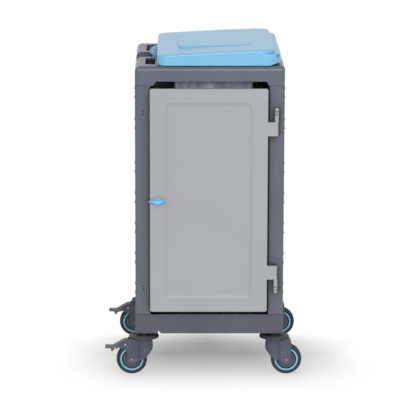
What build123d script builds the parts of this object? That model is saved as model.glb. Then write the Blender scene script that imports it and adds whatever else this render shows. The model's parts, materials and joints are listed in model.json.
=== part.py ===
from build123d import *
import os

# Waste collection cart. Millimetres, floor at Z = 0, frame centred on X = Y = 0.
# The door faces -Y, the hand grips and the lid hinge are at -X.

# Clearances
plug_gap = 0.2  # round a piece that plugs into a socket
seat_gap = 0.3  # between a resting piece and its seat
turn_gap = 0.3  # round a pin or collar that turns
rest_gap = 1.5  # between faces that pass each other in use

# Frame
frame_width = 480
frame_depth = 550
frame_top = 1021
edge_round = 8
wall = 4

# Posts
post_width = 50
post_depth = 60
post_wall = 6
post_inner_round = 2.5
post_seam = 1.2
spigot_length = 22
spigot_step = 3
socket_rib_proud = 1.8
socket_rib_height = 3.4
socket_rib_length = 34
socket_span = 30
socket_pitch = 100
lower_socket_count = 5
upper_socket_count = 2
lower_socket_height = 290
upper_socket_height = 833
channel_lip = 4
channel_depth = 8

# Base
base_bottom = 142
base_height = 63.5
foot_width = 73.5
foot_notch = 9.5
rail_pocket_count = 3
tray_recess = 6
tray_ledge = 8
tray_thickness = 5
tray_rib_height = 14
tray_rib_pitch = 90

# Top frame
rail_height = 49
top_edge_round = 14
leg_height = 63
leg_chamfer = 10
left_leg_extra = 8
front_rail = 40
right_rail = 50
right_top_round = 12
grip_top_round = 19
grip_bar = 33
grip_slot_width = 32
grip_slot_length = 146
grip_slot_inset = 44
grip_slot_round = 6
grip_pocket_depth = 36
grip_skin = 6
grip_undercut = 20
mouth_lip = 20
mouth_round = 25
hinge_recess_width = 118
hinge_recess_depth = 25

# Side and rear panels
panel_thickness = 4.5
panel_inset = 12
panel_field_margin = 45
panel_field_depth = 1.8
panel_corner = 18

# Door
door_proud = 11.5
door_thickness = 10
door_skin = 4
door_edge_round = 3.5
door_corner = 7
door_overlap = 2.5
door_side_gap = 3
door_gap_above = 22
door_gap_below = 11
door_rim_depth = 14
door_rim_wall = 3
door_rim_inset = 7
door_field_side = 49
door_field_end = 46
door_field_depth = 3.5
door_field_bevel = 68
door_field_corner = 18
door_rib = 3
door_rib_count = 4

# Door hinges
hinge_inset = 25.5
hinge_from_end = 131
ear_height = 45
strap_width = 12.2
strap_length = 46.5
strap_edge_round = 3
strap_end_round = 5.5
hinge_pin_radius = 3
hinge_pin_length = 30
strap_screw_end = 11.5
strap_screw_spacing = 10.5
strap_screw_radius = 2
strap_screw_head_radius = 3.6
strap_screw_head_depth = 2.4
strap_screw_length = 21

# Latch
latch_inset = 25
latch_height = 584
knob_length = 67
knob_width = 27
knob_depth = 17
knob_crown = 0.55
knob_waist_round = 22
knob_tip_round = 1.5
knob_base_radius = 13
knob_base_depth = 3
spindle_radius = 5
spindle_square = 6.6
bush_radius = 7
bush_flange_radius = 12
bush_flange_depth = 2.5
tongue_length = 34
tongue_width = 14
tongue_thickness = 4
tongue_slot_width = 9
latch_screw_radius = 2
latch_screw_length = 9
latch_screw_head_radius = 4.6
latch_screw_head_depth = 2.6

# Lid
lid_front_gap = 5
lid_left_inset = 71
lid_right_inset = 32
lid_low = 34
lid_high = 52
lid_crown = 2
lid_wall = 3
lid_corner = 32
lid_edge_round = 7
lid_rib_height = 10
lid_rib_pitch = 150
lid_foot_chamfer = 2
lid_rest_inset = 43.5
plateau_left_inset = 64
plateau_length = 246
plateau_depth = 272
plateau_low = 7
plateau_high = 0.8
plateau_corner = 26
plateau_draft = 40
lip_reach = 20
lip_corner = 48
lip_root = 70
lip_drop = 14
lip_hole_radius = 5
lip_hole_inset = 11
lip_hole_drop = 8
finger_gap_length = 42
finger_gap_rise = 10.5

# Lid hinge
lid_axis_inset = 55
lid_axis_rise = 12
knuckle_radius = 9
lid_pin_radius = 3
lid_pin_sink = 3
lug_width = 24
lug_length = 13
lug_plate_width = 40
lug_plate_length = 30
lug_plate_thickness = 5
ear_thickness = 10
ear_dip = 8
ear_tip_reach = 8
ear_peak_reach = 2.5
ear_peak_rise = 12
ear_root_rise = 14.5
ear_hole_radius = 2.8
ear_hole_reach = 9
ear_hole_rise = 9

# Bag and its ring
ring_recess_depth = 10
ring_recess_width = 7
ring_height = 8
ring_overhang = 3
bag_film = 1.4
bag_floor_round = 45
bag_floor_inset = 36
bag_neck_drop = 62
bag_neck_inset = 10
bag_belly_drop = 420
bag_belly_inset = 3
bag_foot_inset = 12
bag_corner = 30
bag_neck_corner = 40

# Casters
wheel_diameter = 100
wheel_width = 27
tread_round = 6
ring_outer_radius = 38
ring_inner_radius = 33
hub_barrel_radius = 14
hub_web = 9
hub_face_radius = 28.7
hub_sink = 2
fit_gap = 0.1
caster_inset_x = 27
caster_inset_y = 32
caster_trail = 40
axle_radius = 3
axle_head_radius = 4.2
axle_head_depth = 1.8
fork_wall = 5.5
fork_clearance = 2.3
fork_top = 120
fork_back = 29
fork_arm_start = 20
fork_front = 56
fork_crown_back = 20
fork_crown_front = 42
fork_arm_round = 15
fork_knee_x = 8.5
fork_knee_z = 60
fork_heel_x = 28
fork_heel_z = 84
fork_corner = 6
tyre_clearance = 4
stem_radius = 6
stem_head_radius = 10
stem_head_depth = 6
stem_head_height = 100.5
stem_nut_radius = 10.5
stem_nut_depth = 9
stem_tip = 3
boss_radius = 20
bearing_height = 2.7
bearing_overlap = 4
bumper_radius = 48.5
bumper_height = 9.3
bumper_rim = 4.8
bumper_bulge = 0.7
bumper_crown_radius = 30

# Brake pedals
pedal_pivot_x = 61
pedal_pivot_z = 101
pedal_boss_radius = 4.5
pedal_pin_radius = 2
pedal_pin_head_radius = 2.8
pedal_pin_head_depth = 1.6
pedal_heel_reach = 9
pedal_top_rise = 14.5
pedal_shoulder_reach = 5
pedal_shoulder_drop = 2
pedal_bend_reach = 42
pedal_reach = 127
pedal_tip_height = 89.5
pedal_tip_lift = 0.8
pedal_tip_thickness = 5.5
pedal_lobe_reach = 43
pedal_lobe_drop = 19.5
pedal_lobe_radius = 4.5
pedal_shoe_reach = 13
pedal_shoe_drop = 9.5
pedal_shoe_length = 6
pedal_round = 1.2
pedal_side_gap = 0.8
cheek_root = 5
cheek_reach = 18
cheek_rise = 11
cheek_drop = 13
cheek_tip_rise = 2.8
cheek_round = 4
crown_face = 47

# Frame members
half_width = frame_width / 2
half_depth = frame_depth / 2
room_width = frame_width - 2 * post_width
room_depth = frame_depth - 2 * post_depth
post_x = half_width - post_width / 2
post_y = half_depth - post_depth / 2
base_top = base_bottom + base_height
legs_bottom = frame_top - leg_height
rail_bottom = frame_top - rail_height
post_length = legs_bottom - base_top
spigot_round = max(edge_round - spigot_step, 1)
socket_clear = spigot_step - plug_gap
socket_heights = [lower_socket_height + i * socket_pitch for i in range(lower_socket_count)]
socket_heights += [upper_socket_height + i * socket_pitch for i in range(upper_socket_count)]

# Lid hinge axis and the room its ears need as they turn
lid_left = lid_left_inset - half_width
lid_axis_x = lid_axis_inset - half_width
lid_axis_z = frame_top + lid_axis_rise
ear_swing_squared = ear_tip_reach**2 + (lid_axis_rise + ear_dip) ** 2
recess_right = lid_axis_x + (ear_swing_squared - lid_axis_rise**2) ** 0.5 + rest_gap

# Mouth of the top frame
mouth_left = grip_bar + grip_slot_width + mouth_lip - half_width
mouth_right = half_width - right_rail
mouth_width = mouth_right - mouth_left
mouth_depth = frame_depth - 2 * front_rail
mouth_x = (mouth_left + mouth_right) / 2
slot_x = grip_bar + grip_slot_width / 2 - half_width
slot_y = half_depth - grip_slot_inset - grip_slot_length / 2
grip_through_far = slot_y - grip_slot_length / 2
grip_through_near = half_depth - post_depth - rest_gap
grip_through_length = grip_through_near - grip_through_far
grip_through_y = (grip_through_near + grip_through_far) / 2
grip_cavity_length = grip_slot_length + grip_undercut
grip_cavity_y = slot_y - grip_undercut / 2
ring_floor = frame_top - ring_recess_depth

# Door
door_face = half_depth + door_proud
door_back = door_face - door_thickness
door_left = -room_width / 2 - door_overlap
door_right = room_width / 2 - door_side_gap
door_low = base_top + door_gap_below
door_high = rail_bottom - door_gap_above
door_width = door_right - door_left
door_height = door_high - door_low
door_x = (door_left + door_right) / 2
door_z = (door_low + door_high) / 2
hinge_x = half_width - hinge_inset
hinge_y = -(door_face - door_thickness / 2)
ear_spots = [door_high - hinge_from_end, door_low + hinge_from_end]
strap_signs = [1, -1]
strap_screw_ends = [strap_length - strap_screw_end - i * strap_screw_spacing for i in range(2)]

# Latch
latch_x = door_left + latch_inset
tongue_front = door_back - door_rim_depth - rest_gap
tongue_back = tongue_front - tongue_thickness

# Casters
caster_x = half_width - caster_inset_x
caster_y = half_depth - caster_inset_y
axle_height = wheel_diameter / 2
fork_half = wheel_width / 2 + fork_clearance + fork_wall
slot_half = wheel_width / 2 + fork_clearance
boss_bottom = fork_top + bearing_height + seat_gap
corners = {
    "front_left": (-1, -1),
    "front_right": (1, -1),
    "rear_left": (-1, 1),
    "rear_right": (1, 1),
}


def save(builder, name):
    builder.part.label = name
    export_step(builder.part, f"parts/{name}.step")


def lid_top(x):
    # Height of the sloping, slightly crowned lid top at a place across the frame
    lid_right = half_width - lid_right_inset
    share = (x - lid_left) / (lid_right - lid_left)
    crown = 4 * lid_crown * share * (1 - share)
    return frame_top + seat_gap + lid_low + share * (lid_high - lid_low) + crown


def caster_plane(side, end):
    # Upright plane through a swivel axis: x runs outwards along the trail, y runs up
    return Plane((side * caster_x, end * caster_y, 0), x_dir=(side, 0, 0), z_dir=(0, -side, 0))


os.makedirs("parts", exist_ok=True)


# Base frame: hollow rails with ribs, four feet, post sockets and caster bosses
rail_pocket_span = frame_width - 2 * foot_width
side_pocket_span = room_depth
pocket_x = (rail_pocket_span - (rail_pocket_count + 1) * wall) / rail_pocket_count
pocket_y = (side_pocket_span - (rail_pocket_count + 1) * wall) / rail_pocket_count
tray_width = room_width + 2 * tray_ledge
tray_depth = room_depth + 2 * tray_ledge
tray_corner = 2 * tray_ledge + rest_gap
foot_x = half_width - foot_width

with BuildPart() as base_frame:
    with BuildSketch(Plane.XY.offset(base_bottom)) as plan:
        Rectangle(frame_width, frame_depth)
        fillet(plan.vertices(), edge_round)
        Rectangle(room_width, room_depth, mode=Mode.SUBTRACT)
    extrude(amount=base_height)
    with BuildSketch(Plane.XY.offset(base_bottom)):
        with GridLocations(pocket_x + wall, 2 * post_y, rail_pocket_count, 2):
            Rectangle(pocket_x, post_depth - 2 * wall)
        with GridLocations(2 * post_x, pocket_y + wall, 2, rail_pocket_count):
            Rectangle(post_width - 2 * wall, pocket_y)
    extrude(amount=base_height - tray_recess - wall, mode=Mode.SUBTRACT)
    with BuildSketch(Plane.XZ):
        Polygon(
            (-foot_x, base_bottom),
            (-foot_x, base_bottom + foot_notch),
            (-foot_x + foot_notch, base_bottom),
            align=None,
        )
    extrude(amount=frame_depth, both=True, mode=Mode.SUBTRACT)
    with BuildSketch(Plane.XY.offset(base_top)) as ledge:
        Rectangle(tray_width, tray_depth)
        chamfer(ledge.vertices(), tray_corner - plug_gap)
    extrude(amount=-tray_recess, mode=Mode.SUBTRACT)
    with BuildSketch(Plane.XY.offset(base_top)):
        with GridLocations(2 * post_x, 2 * post_y, 2, 2):
            RectangleRounded(post_width - 2 * socket_clear, post_depth - 2 * socket_clear, spigot_round)
    extrude(amount=-spigot_length - plug_gap, mode=Mode.SUBTRACT)
    with BuildSketch(Plane.XY.offset(boss_bottom)):
        with GridLocations(2 * caster_x, 2 * caster_y, 2, 2):
            Circle(boss_radius)
    extrude(amount=base_bottom - boss_bottom)
    with BuildSketch(Plane.XY.offset(boss_bottom)):
        with GridLocations(2 * caster_x, 2 * caster_y, 2, 2):
            Circle(stem_radius + fit_gap)
    extrude(amount=base_top - boss_bottom, mode=Mode.SUBTRACT)
save(base_frame, "base_frame")

# Floor tray, dropped into the base on its ledge, ribbed below
tray_floor = base_top - tray_recess
with BuildPart() as floor_tray:
    with BuildSketch(Plane.XY.offset(tray_floor)) as plan:
        Rectangle(tray_width - 2 * plug_gap, tray_depth - 2 * plug_gap)
        chamfer(plan.vertices(), tray_corner)
    extrude(amount=tray_thickness)
    with BuildSketch(Plane.XY.offset(tray_floor)):
        with GridLocations(tray_rib_pitch, 1, 3, 1):
            Rectangle(wall, room_depth - 2 * rest_gap)
        with GridLocations(1, tray_rib_pitch, 1, 3):
            Rectangle(room_width - 2 * rest_gap, wall)
    extrude(amount=-tray_rib_height)
save(floor_tray, "floor_tray")

# Posts: hollow, plugged into base and top frame, ribbed for accessory sockets
panel_x = half_width - panel_inset
panel_y = half_depth - panel_inset
lip_offset = (panel_thickness + channel_lip) / 2 + plug_gap
screw_heights = [
    spot + sign * (ear_height / 2 + seat_gap + reach)
    for spot, sign in zip(ear_spots, strap_signs)
    for reach in strap_screw_ends
]


def make_post(side, end):
    x = side * post_x
    y = end * post_y
    with BuildPart() as post:
        with BuildSketch(Plane.XY.offset(base_top + post_seam)) as section:
            with Locations((x, y)):
                Rectangle(post_width, post_depth)
            fillet(section.vertices().sort_by(lambda v: -side * v.X - end * v.Y)[:1], edge_round)
            fillet(section.vertices().sort_by(lambda v: side * v.X + end * v.Y)[:3], post_inner_round)
            offset(amount=-post_wall, mode=Mode.SUBTRACT)
        extrude(amount=post_length - 2 * post_seam)
        with BuildSketch(Plane.XY.offset(base_top - spigot_length)) as spigot:
            with Locations((x, y)):
                RectangleRounded(post_width - 2 * spigot_step, post_depth - 2 * spigot_step, spigot_round)
                Rectangle(post_width - 2 * post_wall, post_depth - 2 * post_wall, mode=Mode.SUBTRACT)
        upper_spigot = Location((0, 0, post_length + spigot_length - post_seam))
        extrude(amount=spigot_length + post_seam)
        extrude(spigot.sketch.moved(upper_spigot), amount=spigot_length + post_seam)
        with Locations([
            (side * half_width, y, height + step * socket_span / 2)
            for height in socket_heights
            for step in (-1, 1)
        ]):
            Box(2 * socket_rib_proud, socket_rib_length, socket_rib_height)
        # Channel that holds the side panel
        inner_y = end * (half_depth - post_depth)
        with BuildSketch(Plane.XY.offset(base_top)):
            with Locations([
                (side * panel_x + step * lip_offset, inner_y - end * channel_depth / 2)
                for step in (-1, 1)
            ]):
                Rectangle(channel_lip, channel_depth)
        extrude(amount=post_length)
        if end > 0:
            # Channel that holds the rear panel
            with BuildSketch(Plane.XY.offset(base_top)):
                with Locations([
                    (side * (room_width - channel_depth) / 2, panel_y + step * lip_offset)
                    for step in (-1, 1)
                ]):
                    Rectangle(channel_depth, channel_lip)
            extrude(amount=post_length)
        else:
            # Screw holes for hinge straps, the same on either hand
            with BuildSketch(Plane.XZ.offset(half_depth)):
                with Locations([(side * hinge_x, height) for height in screw_heights]):
                    Circle(strap_screw_radius + fit_gap)
            extrude(amount=-post_wall, mode=Mode.SUBTRACT)
        if end < 0 and side < 0:
            # Slot that the latch tongue turns into
            slot_low = latch_height - tongue_length
            slot_high = latch_height + tongue_width / 2 + rest_gap
            with BuildSketch(Plane.YZ.offset(-half_width + post_width)):
                with Locations((-(tongue_front + tongue_back) / 2, (slot_low + slot_high) / 2)):
                    Rectangle(tongue_slot_width, slot_high - slot_low)
            extrude(amount=-post_wall, mode=Mode.SUBTRACT)
    return post


for corner, (side, end) in corners.items():
    save(make_post(side, end), f"{corner}_post")

# Top frame: rail ring with corner legs, hand grips, bag mouth and hinge recess
doorway_corner = room_width / 2

with BuildPart() as top_frame:
    with BuildSketch(Plane.XZ) as outline:
        with Locations((0, (legs_bottom + frame_top) / 2)):
            Rectangle(frame_width, leg_height)
        tops = outline.vertices().group_by(Axis.Y)[-1].sort_by(Axis.X)
        fillet(tops[0], grip_top_round)
        tops = outline.vertices().group_by(Axis.Y)[-1].sort_by(Axis.X)
        fillet(tops[-1], right_top_round)
    extrude(amount=half_depth, both=True)
    ends = top_frame.faces().filter_by(Axis.Y)
    fillet([e for e in ends.edges() if e.center().Z > legs_bottom + 1], edge_round)
    # Fuller rounding along the front and rear top edges
    with BuildSketch(Plane.YZ):
        for end in (-1, 1):
            with Locations((end * half_depth, frame_top)):
                Rectangle(2 * top_edge_round, 2 * top_edge_round)
            with Locations((end * (half_depth - top_edge_round), frame_top - top_edge_round)):
                Circle(top_edge_round, mode=Mode.SUBTRACT)
    extrude(amount=half_width, both=True, mode=Mode.SUBTRACT)
    # Doorway head with chamfered corners, and plain openings on the other sides
    with BuildSketch(Plane.XZ):
        Polygon(
            (-doorway_corner + left_leg_extra, legs_bottom),
            (-doorway_corner + left_leg_extra + leg_chamfer, rail_bottom),
            (doorway_corner - leg_chamfer, rail_bottom),
            (doorway_corner, legs_bottom),
            align=None,
        )
    extrude(amount=half_depth, mode=Mode.SUBTRACT)
    with Locations((0, half_depth / 2, (legs_bottom + rail_bottom) / 2)):
        Box(room_width, half_depth, leg_height - rail_height, mode=Mode.SUBTRACT)
    with Locations((0, 0, (legs_bottom + rail_bottom) / 2)):
        Box(frame_width, room_depth, leg_height - rail_height, mode=Mode.SUBTRACT)
    # Mouth, and the recess round it that takes the bag ring
    with BuildSketch(Plane.XY.offset(legs_bottom)):
        with Locations((mouth_x, 0)):
            RectangleRounded(mouth_width, mouth_depth, mouth_round)
    extrude(amount=leg_height, mode=Mode.SUBTRACT)
    with BuildSketch(Plane.XY.offset(ring_floor)):
        with Locations((mouth_x, 0)):
            RectangleRounded(
                mouth_width + 2 * ring_recess_width,
                mouth_depth + 2 * ring_recess_width,
                mouth_round + ring_recess_width,
            )
    extrude(amount=ring_recess_depth, mode=Mode.SUBTRACT)
    # Two hand grips: slots into deeper pockets that run through clear of the corner legs
    with BuildSketch(Plane.XY.offset(frame_top - grip_pocket_depth)):
        with Locations((slot_x, -slot_y), (slot_x, slot_y)):
            RectangleRounded(grip_slot_width, grip_slot_length, grip_slot_round)
    extrude(amount=grip_pocket_depth, mode=Mode.SUBTRACT)
    with BuildSketch(Plane.XY.offset(frame_top - grip_pocket_depth)):
        with Locations((slot_x, -grip_cavity_y), (slot_x, grip_cavity_y)):
            RectangleRounded(grip_slot_width, grip_cavity_length, grip_slot_round)
    extrude(amount=grip_pocket_depth - grip_skin, mode=Mode.SUBTRACT)
    with BuildSketch(Plane.XY.offset(legs_bottom)):
        with Locations((slot_x, -grip_through_y), (slot_x, grip_through_y)):
            RectangleRounded(grip_slot_width, grip_through_length, grip_slot_round)
    extrude(amount=leg_height, mode=Mode.SUBTRACT)
    # Recess between the grips for the lid hinge
    with Locations((-half_width, 0, frame_top)):
        Box(
            2 * (recess_right + half_width),
            hinge_recess_width,
            2 * hinge_recess_depth,
            mode=Mode.SUBTRACT,
        )
    # Hollow front, rear and right rails, open below
    with BuildSketch(Plane.XY.offset(rail_bottom)):
        with Locations((0, -half_depth + front_rail / 2), (0, half_depth - front_rail / 2)):
            Rectangle(room_width - 2 * leg_chamfer - 2 * wall, front_rail - 2 * wall)
        with Locations((half_width - right_rail / 2, 0)):
            Rectangle(right_rail - 2 * wall, room_depth - 2 * wall)
    extrude(amount=rail_height - ring_recess_depth - wall, mode=Mode.SUBTRACT)
    # Sockets for the posts
    with BuildSketch(Plane.XY.offset(legs_bottom)):
        with GridLocations(2 * post_x, 2 * post_y, 2, 2):
            RectangleRounded(post_width - 2 * socket_clear, post_depth - 2 * socket_clear, spigot_round)
    extrude(amount=spigot_length + plug_gap, mode=Mode.SUBTRACT)
save(top_frame, "top_frame")

# Lid hinge bracket, standing in the recess between the grips
lug_foot = frame_top - hinge_recess_depth
with BuildPart() as lid_hinge_bracket:
    with BuildSketch(Plane.XZ):
        with Locations((lid_axis_x, lid_axis_z)):
            Circle(lug_length / 2)
        with Locations((lid_axis_x, (lug_foot + lid_axis_z) / 2)):
            Rectangle(lug_length, lid_axis_z - lug_foot)
        with Locations((lid_axis_x, lid_axis_z)):
            Circle(lid_pin_radius + fit_gap, mode=Mode.SUBTRACT)
    extrude(amount=lug_width / 2, both=True)
    with Locations((lid_axis_x, 0, lug_foot + lug_plate_thickness / 2)):
        Box(lug_plate_length, lug_plate_width, lug_plate_thickness)
save(lid_hinge_bracket, "lid_hinge_bracket")

# Lid hinge pin
ear_inner = lug_width / 2 + rest_gap
ear_outer = ear_inner + ear_thickness
with BuildPart() as lid_hinge_pin:
    with BuildSketch(Plane.XZ):
        with Locations((lid_axis_x, lid_axis_z)):
            Circle(lid_pin_radius)
    extrude(amount=ear_outer - lid_pin_sink, both=True)
save(lid_hinge_pin, "lid_hinge_pin")

# Lid: sloping shell with a flatter plateau, a hollow grip lip and two hinge ears
lid_right = half_width - lid_right_inset
lid_middle = (lid_left + lid_right) / 2
lid_bottom = frame_top + seat_gap
lid_half_depth = half_depth - lid_front_gap
plateau_left = lid_left + plateau_left_inset
plateau_right = plateau_left + plateau_length
lip_top = lid_top(lid_right) - lip_drop
lip_left = lid_right - lip_root
lip_right = lid_right + lip_reach
rib_left = lid_left + lid_edge_round
rib_right = lid_right - lid_edge_round


def make_block(left, right, half, left_round, right_round, left_top, right_top, crown, edge):
    # Block on the lid's bottom plane with a sloping, crowned top and soft top edges
    ceiling = lid_bottom + 2 * lid_high
    with BuildPart() as block:
        with BuildSketch(Plane.XY.offset(lid_bottom)) as plan:
            with Locations(((left + right) / 2, 0)):
                Rectangle(right - left, 2 * half)
            fillet(plan.vertices().sort_by(Axis.X)[:2], left_round)
            fillet(plan.vertices().sort_by(Axis.X)[-2:], right_round)
        extrude(amount=2 * lid_high)
        with BuildSketch(Plane.XZ):
            with BuildLine():
                Polyline((right, right_top), (right, ceiling), (left, ceiling), (left, left_top))
                if crown > 0:
                    middle = ((left + right) / 2, (left_top + right_top) / 2 + crown)
                    ThreePointArc((left, left_top), middle, (right, right_top))
                else:
                    Line((left, left_top), (right, right_top))
            make_face()
        extrude(amount=frame_depth, both=True, mode=Mode.SUBTRACT)
        fillet(block.faces().sort_by(Axis.Z)[-1].edges(), edge)
    return block.part


def make_main(inset):
    left = lid_left + inset
    right = lid_right - inset
    half = lid_half_depth - inset
    corner = lid_corner - inset
    edge = lid_edge_round - inset
    left_top = lid_top(left) - inset
    right_top = lid_top(right) - inset
    return make_block(left, right, half, corner, lip_corner - inset, left_top, right_top, lid_crown, edge)


def make_lip(inset):
    left = lip_left + inset
    right = lip_right - inset
    half = lid_half_depth - inset
    top = lip_top - inset
    edge = lid_edge_round - inset
    return make_block(left, right, half, lid_corner - inset, lip_corner - inset, top, top, 0, edge)


# Flatter plateau with long soft flanks, growing out of the slope
plateau_plane = Plane(
    (plateau_left, 0, lid_top(plateau_left) - lid_wall / 2),
    x_dir=(lid_right - lid_left, 0, lid_high - lid_low),
    z_dir=(lid_low - lid_high, 0, lid_right - lid_left),
)
plateau_left_top = lid_top(plateau_left) + plateau_low
plateau_right_top = lid_top(plateau_right) + plateau_high
plateau_ceiling = plateau_right_top + lid_high

with BuildPart() as plateau:
    with BuildSketch(plateau_plane):
        with Locations((plateau_length / 2, 0)):
            RectangleRounded(plateau_length, plateau_depth, plateau_corner)
    extrude(amount=plateau_low + lid_wall, taper=plateau_draft)
    with BuildSketch(Plane.XZ):
        Polygon(
            (plateau_left, plateau_left_top),
            (plateau_right, plateau_right_top),
            (plateau_right, plateau_ceiling),
            (plateau_left, plateau_ceiling),
            align=None,
        )
    extrude(amount=plateau_depth, both=True, mode=Mode.SUBTRACT)

# Rib across the lid that rests on the frame beside the mouth
rib_end_inset = (lid_wall + lid_foot_chamfer) / 2
with BuildPart() as rest_rib:
    add(make_main(lid_wall / 2))
    add(make_lip(rib_end_inset))
    with Locations((half_width - lid_rest_inset, 0, lid_bottom)):
        Box(lid_wall, frame_depth, 4 * lid_high, mode=Mode.INTERSECT)

with BuildPart() as lid:
    add(make_main(0))
    add(make_lip(0))
    add(plateau.part)
    add(make_main(lid_wall), mode=Mode.SUBTRACT)
    add(make_lip(lid_wall), mode=Mode.SUBTRACT)
    chamfer(lid.faces().sort_by(Axis.Z)[0].outer_wire().edges(), lid_foot_chamfer)
    # Round hole in each end of the lip
    for end in (-1, 1):
        with BuildSketch(Plane.XZ.offset(end * lid_half_depth)):
            with Locations((lip_right - lip_hole_inset, lip_top - lip_hole_drop)):
                Circle(lip_hole_radius)
        extrude(amount=-end * lip_corner, mode=Mode.SUBTRACT)
    # Stiffening ribs under the top
    for step in (-1, 0, 1):
        with BuildSketch(Plane.XZ.offset(step * lid_rib_pitch)):
            Polygon(
                (rib_left, lid_top(rib_left) - lid_wall - lid_rib_height),
                (rib_left, lid_top(rib_left) - lid_wall / 2),
                (lid_middle, lid_top(lid_middle) - lid_wall / 2),
                (rib_right, lid_top(rib_right) - lid_wall / 2),
                (rib_right, lid_top(rib_right) - lid_wall - lid_rib_height),
                align=None,
            )
        extrude(amount=lid_wall / 2, both=True)
    # Lifting gap under the free edge
    with BuildSketch(Plane.XZ):
        Polygon(
            (lip_right - finger_gap_length, lid_bottom),
            (lip_right, lid_bottom),
            (lip_right, lid_bottom + finger_gap_rise),
            align=None,
        )
    extrude(amount=frame_depth, both=True, mode=Mode.SUBTRACT)
    add(rest_rib.part)
    # Hinge ears
    for end in (-1, 1):
        with BuildSketch(Plane.XZ.offset(end * (ear_inner + ear_thickness / 2))):
            with BuildLine():
                Polyline(
                    (lid_axis_x - knuckle_radius / 2, lid_axis_z),
                    (lid_axis_x + ear_peak_reach, lid_axis_z + ear_peak_rise),
                    (lid_left, lid_axis_z + ear_root_rise),
                    (lid_left + lid_wall, lid_axis_z + ear_root_rise),
                    (lid_left + lid_wall, lid_bottom),
                    (lid_left, lid_bottom),
                    (lid_axis_x + ear_tip_reach, lid_bottom - ear_dip),
                    (lid_axis_x + ear_peak_reach, lid_bottom - ear_dip),
                    close=True,
                )
            make_face()
            with Locations((lid_axis_x, lid_axis_z)):
                Circle(knuckle_radius)
                Circle(lid_pin_radius + turn_gap, mode=Mode.SUBTRACT)
            with Locations((lid_axis_x + ear_hole_reach, lid_axis_z + ear_hole_rise)):
                Circle(ear_hole_radius, mode=Mode.SUBTRACT)
        extrude(amount=ear_thickness / 2, both=True)
save(lid, "lid")

# Side and rear panels, standing on the base in the post channels
panel_low = base_top
panel_high = rail_bottom - rest_gap
panel_z = (panel_low + panel_high) / 2


def make_panel(plane, width):
    # Sheet whose outer face has a sunk field like the door's
    height = panel_high - panel_low
    with BuildPart() as panel:
        with BuildSketch(plane):
            Rectangle(width, height)
        extrude(amount=-panel_thickness)
        with BuildSketch(plane):
            RectangleRounded(width - 2 * panel_field_margin, height - 2 * panel_field_margin, panel_corner)
        extrude(amount=-panel_field_depth, taper=door_field_bevel, mode=Mode.SUBTRACT)
    return panel


side_face = panel_x + panel_thickness / 2
rear_face = panel_y + panel_thickness / 2
side_panel_width = room_depth - 2 * plug_gap
rear_panel_width = room_width - 2 * plug_gap
left_plane = Plane((-side_face, 0, panel_z), x_dir=(0, -1, 0), z_dir=(-1, 0, 0))
right_plane = Plane((side_face, 0, panel_z), x_dir=(0, 1, 0), z_dir=(1, 0, 0))
rear_plane = Plane((0, rear_face, panel_z), x_dir=(-1, 0, 0), z_dir=(0, 1, 0))
save(make_panel(left_plane, side_panel_width), "left_side_panel")
save(make_panel(right_plane, side_panel_width), "right_side_panel")
save(make_panel(rear_plane, rear_panel_width), "rear_panel")

# Door: moulded tray with a sunk field, ribs and a rim behind, and two hinge ears
field_width = door_width - 2 * door_field_side
field_height = door_height - 2 * door_field_end
rim_width = room_width - 2 * door_rim_inset
rim_height = door_height - 2 * door_rim_inset
cell_width = field_width - 2 * door_skin
cell_height = (field_height - 2 * door_skin + door_rib) / door_rib_count - door_rib

with BuildPart() as door_panel:
    with BuildSketch(Plane.XZ.offset(door_face)):
        with Locations((door_x, door_z)):
            RectangleRounded(door_width, door_height, door_corner)
    extrude(amount=-door_thickness)
    fillet(door_panel.faces().sort_by(Axis.Y)[0].edges(), door_edge_round)
    with BuildSketch(Plane.XZ.offset(door_face)):
        with Locations((door_x, door_z)):
            RectangleRounded(field_width, field_height, door_field_corner)
    extrude(amount=-door_field_depth, taper=door_field_bevel, mode=Mode.SUBTRACT)
    # Hollow the back, round the field and behind it
    with BuildSketch(Plane.XZ.offset(door_back)):
        with Locations((0, door_z)):
            Rectangle(rim_width - 2 * door_rim_wall, rim_height - 2 * door_rim_wall)
        with Locations((door_x, door_z)):
            Rectangle(field_width + 2 * door_skin, field_height + 2 * door_skin, mode=Mode.SUBTRACT)
        with Locations((latch_x, latch_height)):
            Circle(bush_flange_radius, mode=Mode.SUBTRACT)
    extrude(amount=door_thickness - door_skin, mode=Mode.SUBTRACT)
    with BuildSketch(Plane.XZ.offset(door_back)):
        with Locations((door_x, door_z)):
            with GridLocations(1, cell_height + door_rib, 1, door_rib_count):
                Rectangle(cell_width, cell_height)
    extrude(amount=door_thickness - door_skin - door_field_depth, mode=Mode.SUBTRACT)
    # Rim that reaches into the doorway
    with BuildSketch(Plane.XZ.offset(door_back)):
        with Locations((0, door_z)):
            Rectangle(rim_width, rim_height)
            Rectangle(rim_width - 2 * door_rim_wall, rim_height - 2 * door_rim_wall, mode=Mode.SUBTRACT)
    extrude(amount=-door_rim_depth)
    for spot in ear_spots:
        with BuildSketch(Plane.XY.offset(spot - ear_height / 2)):
            with Locations(((door_right - door_corner + hinge_x) / 2, hinge_y)):
                Rectangle(hinge_x - door_right + door_corner, door_thickness)
            with Locations((hinge_x, hinge_y)):
                Circle(door_thickness / 2)
        extrude(amount=ear_height)
    with BuildSketch(Plane.XY.offset(door_low)):
        with Locations((hinge_x, hinge_y)):
            Circle(hinge_pin_radius + turn_gap)
    extrude(amount=door_height, mode=Mode.SUBTRACT)
    with BuildSketch(Plane.XZ.offset(door_face)):
        with Locations((latch_x, latch_height)):
            Circle(bush_radius + fit_gap)
    extrude(amount=-door_thickness, mode=Mode.SUBTRACT)
save(door_panel, "door_panel")


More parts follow.
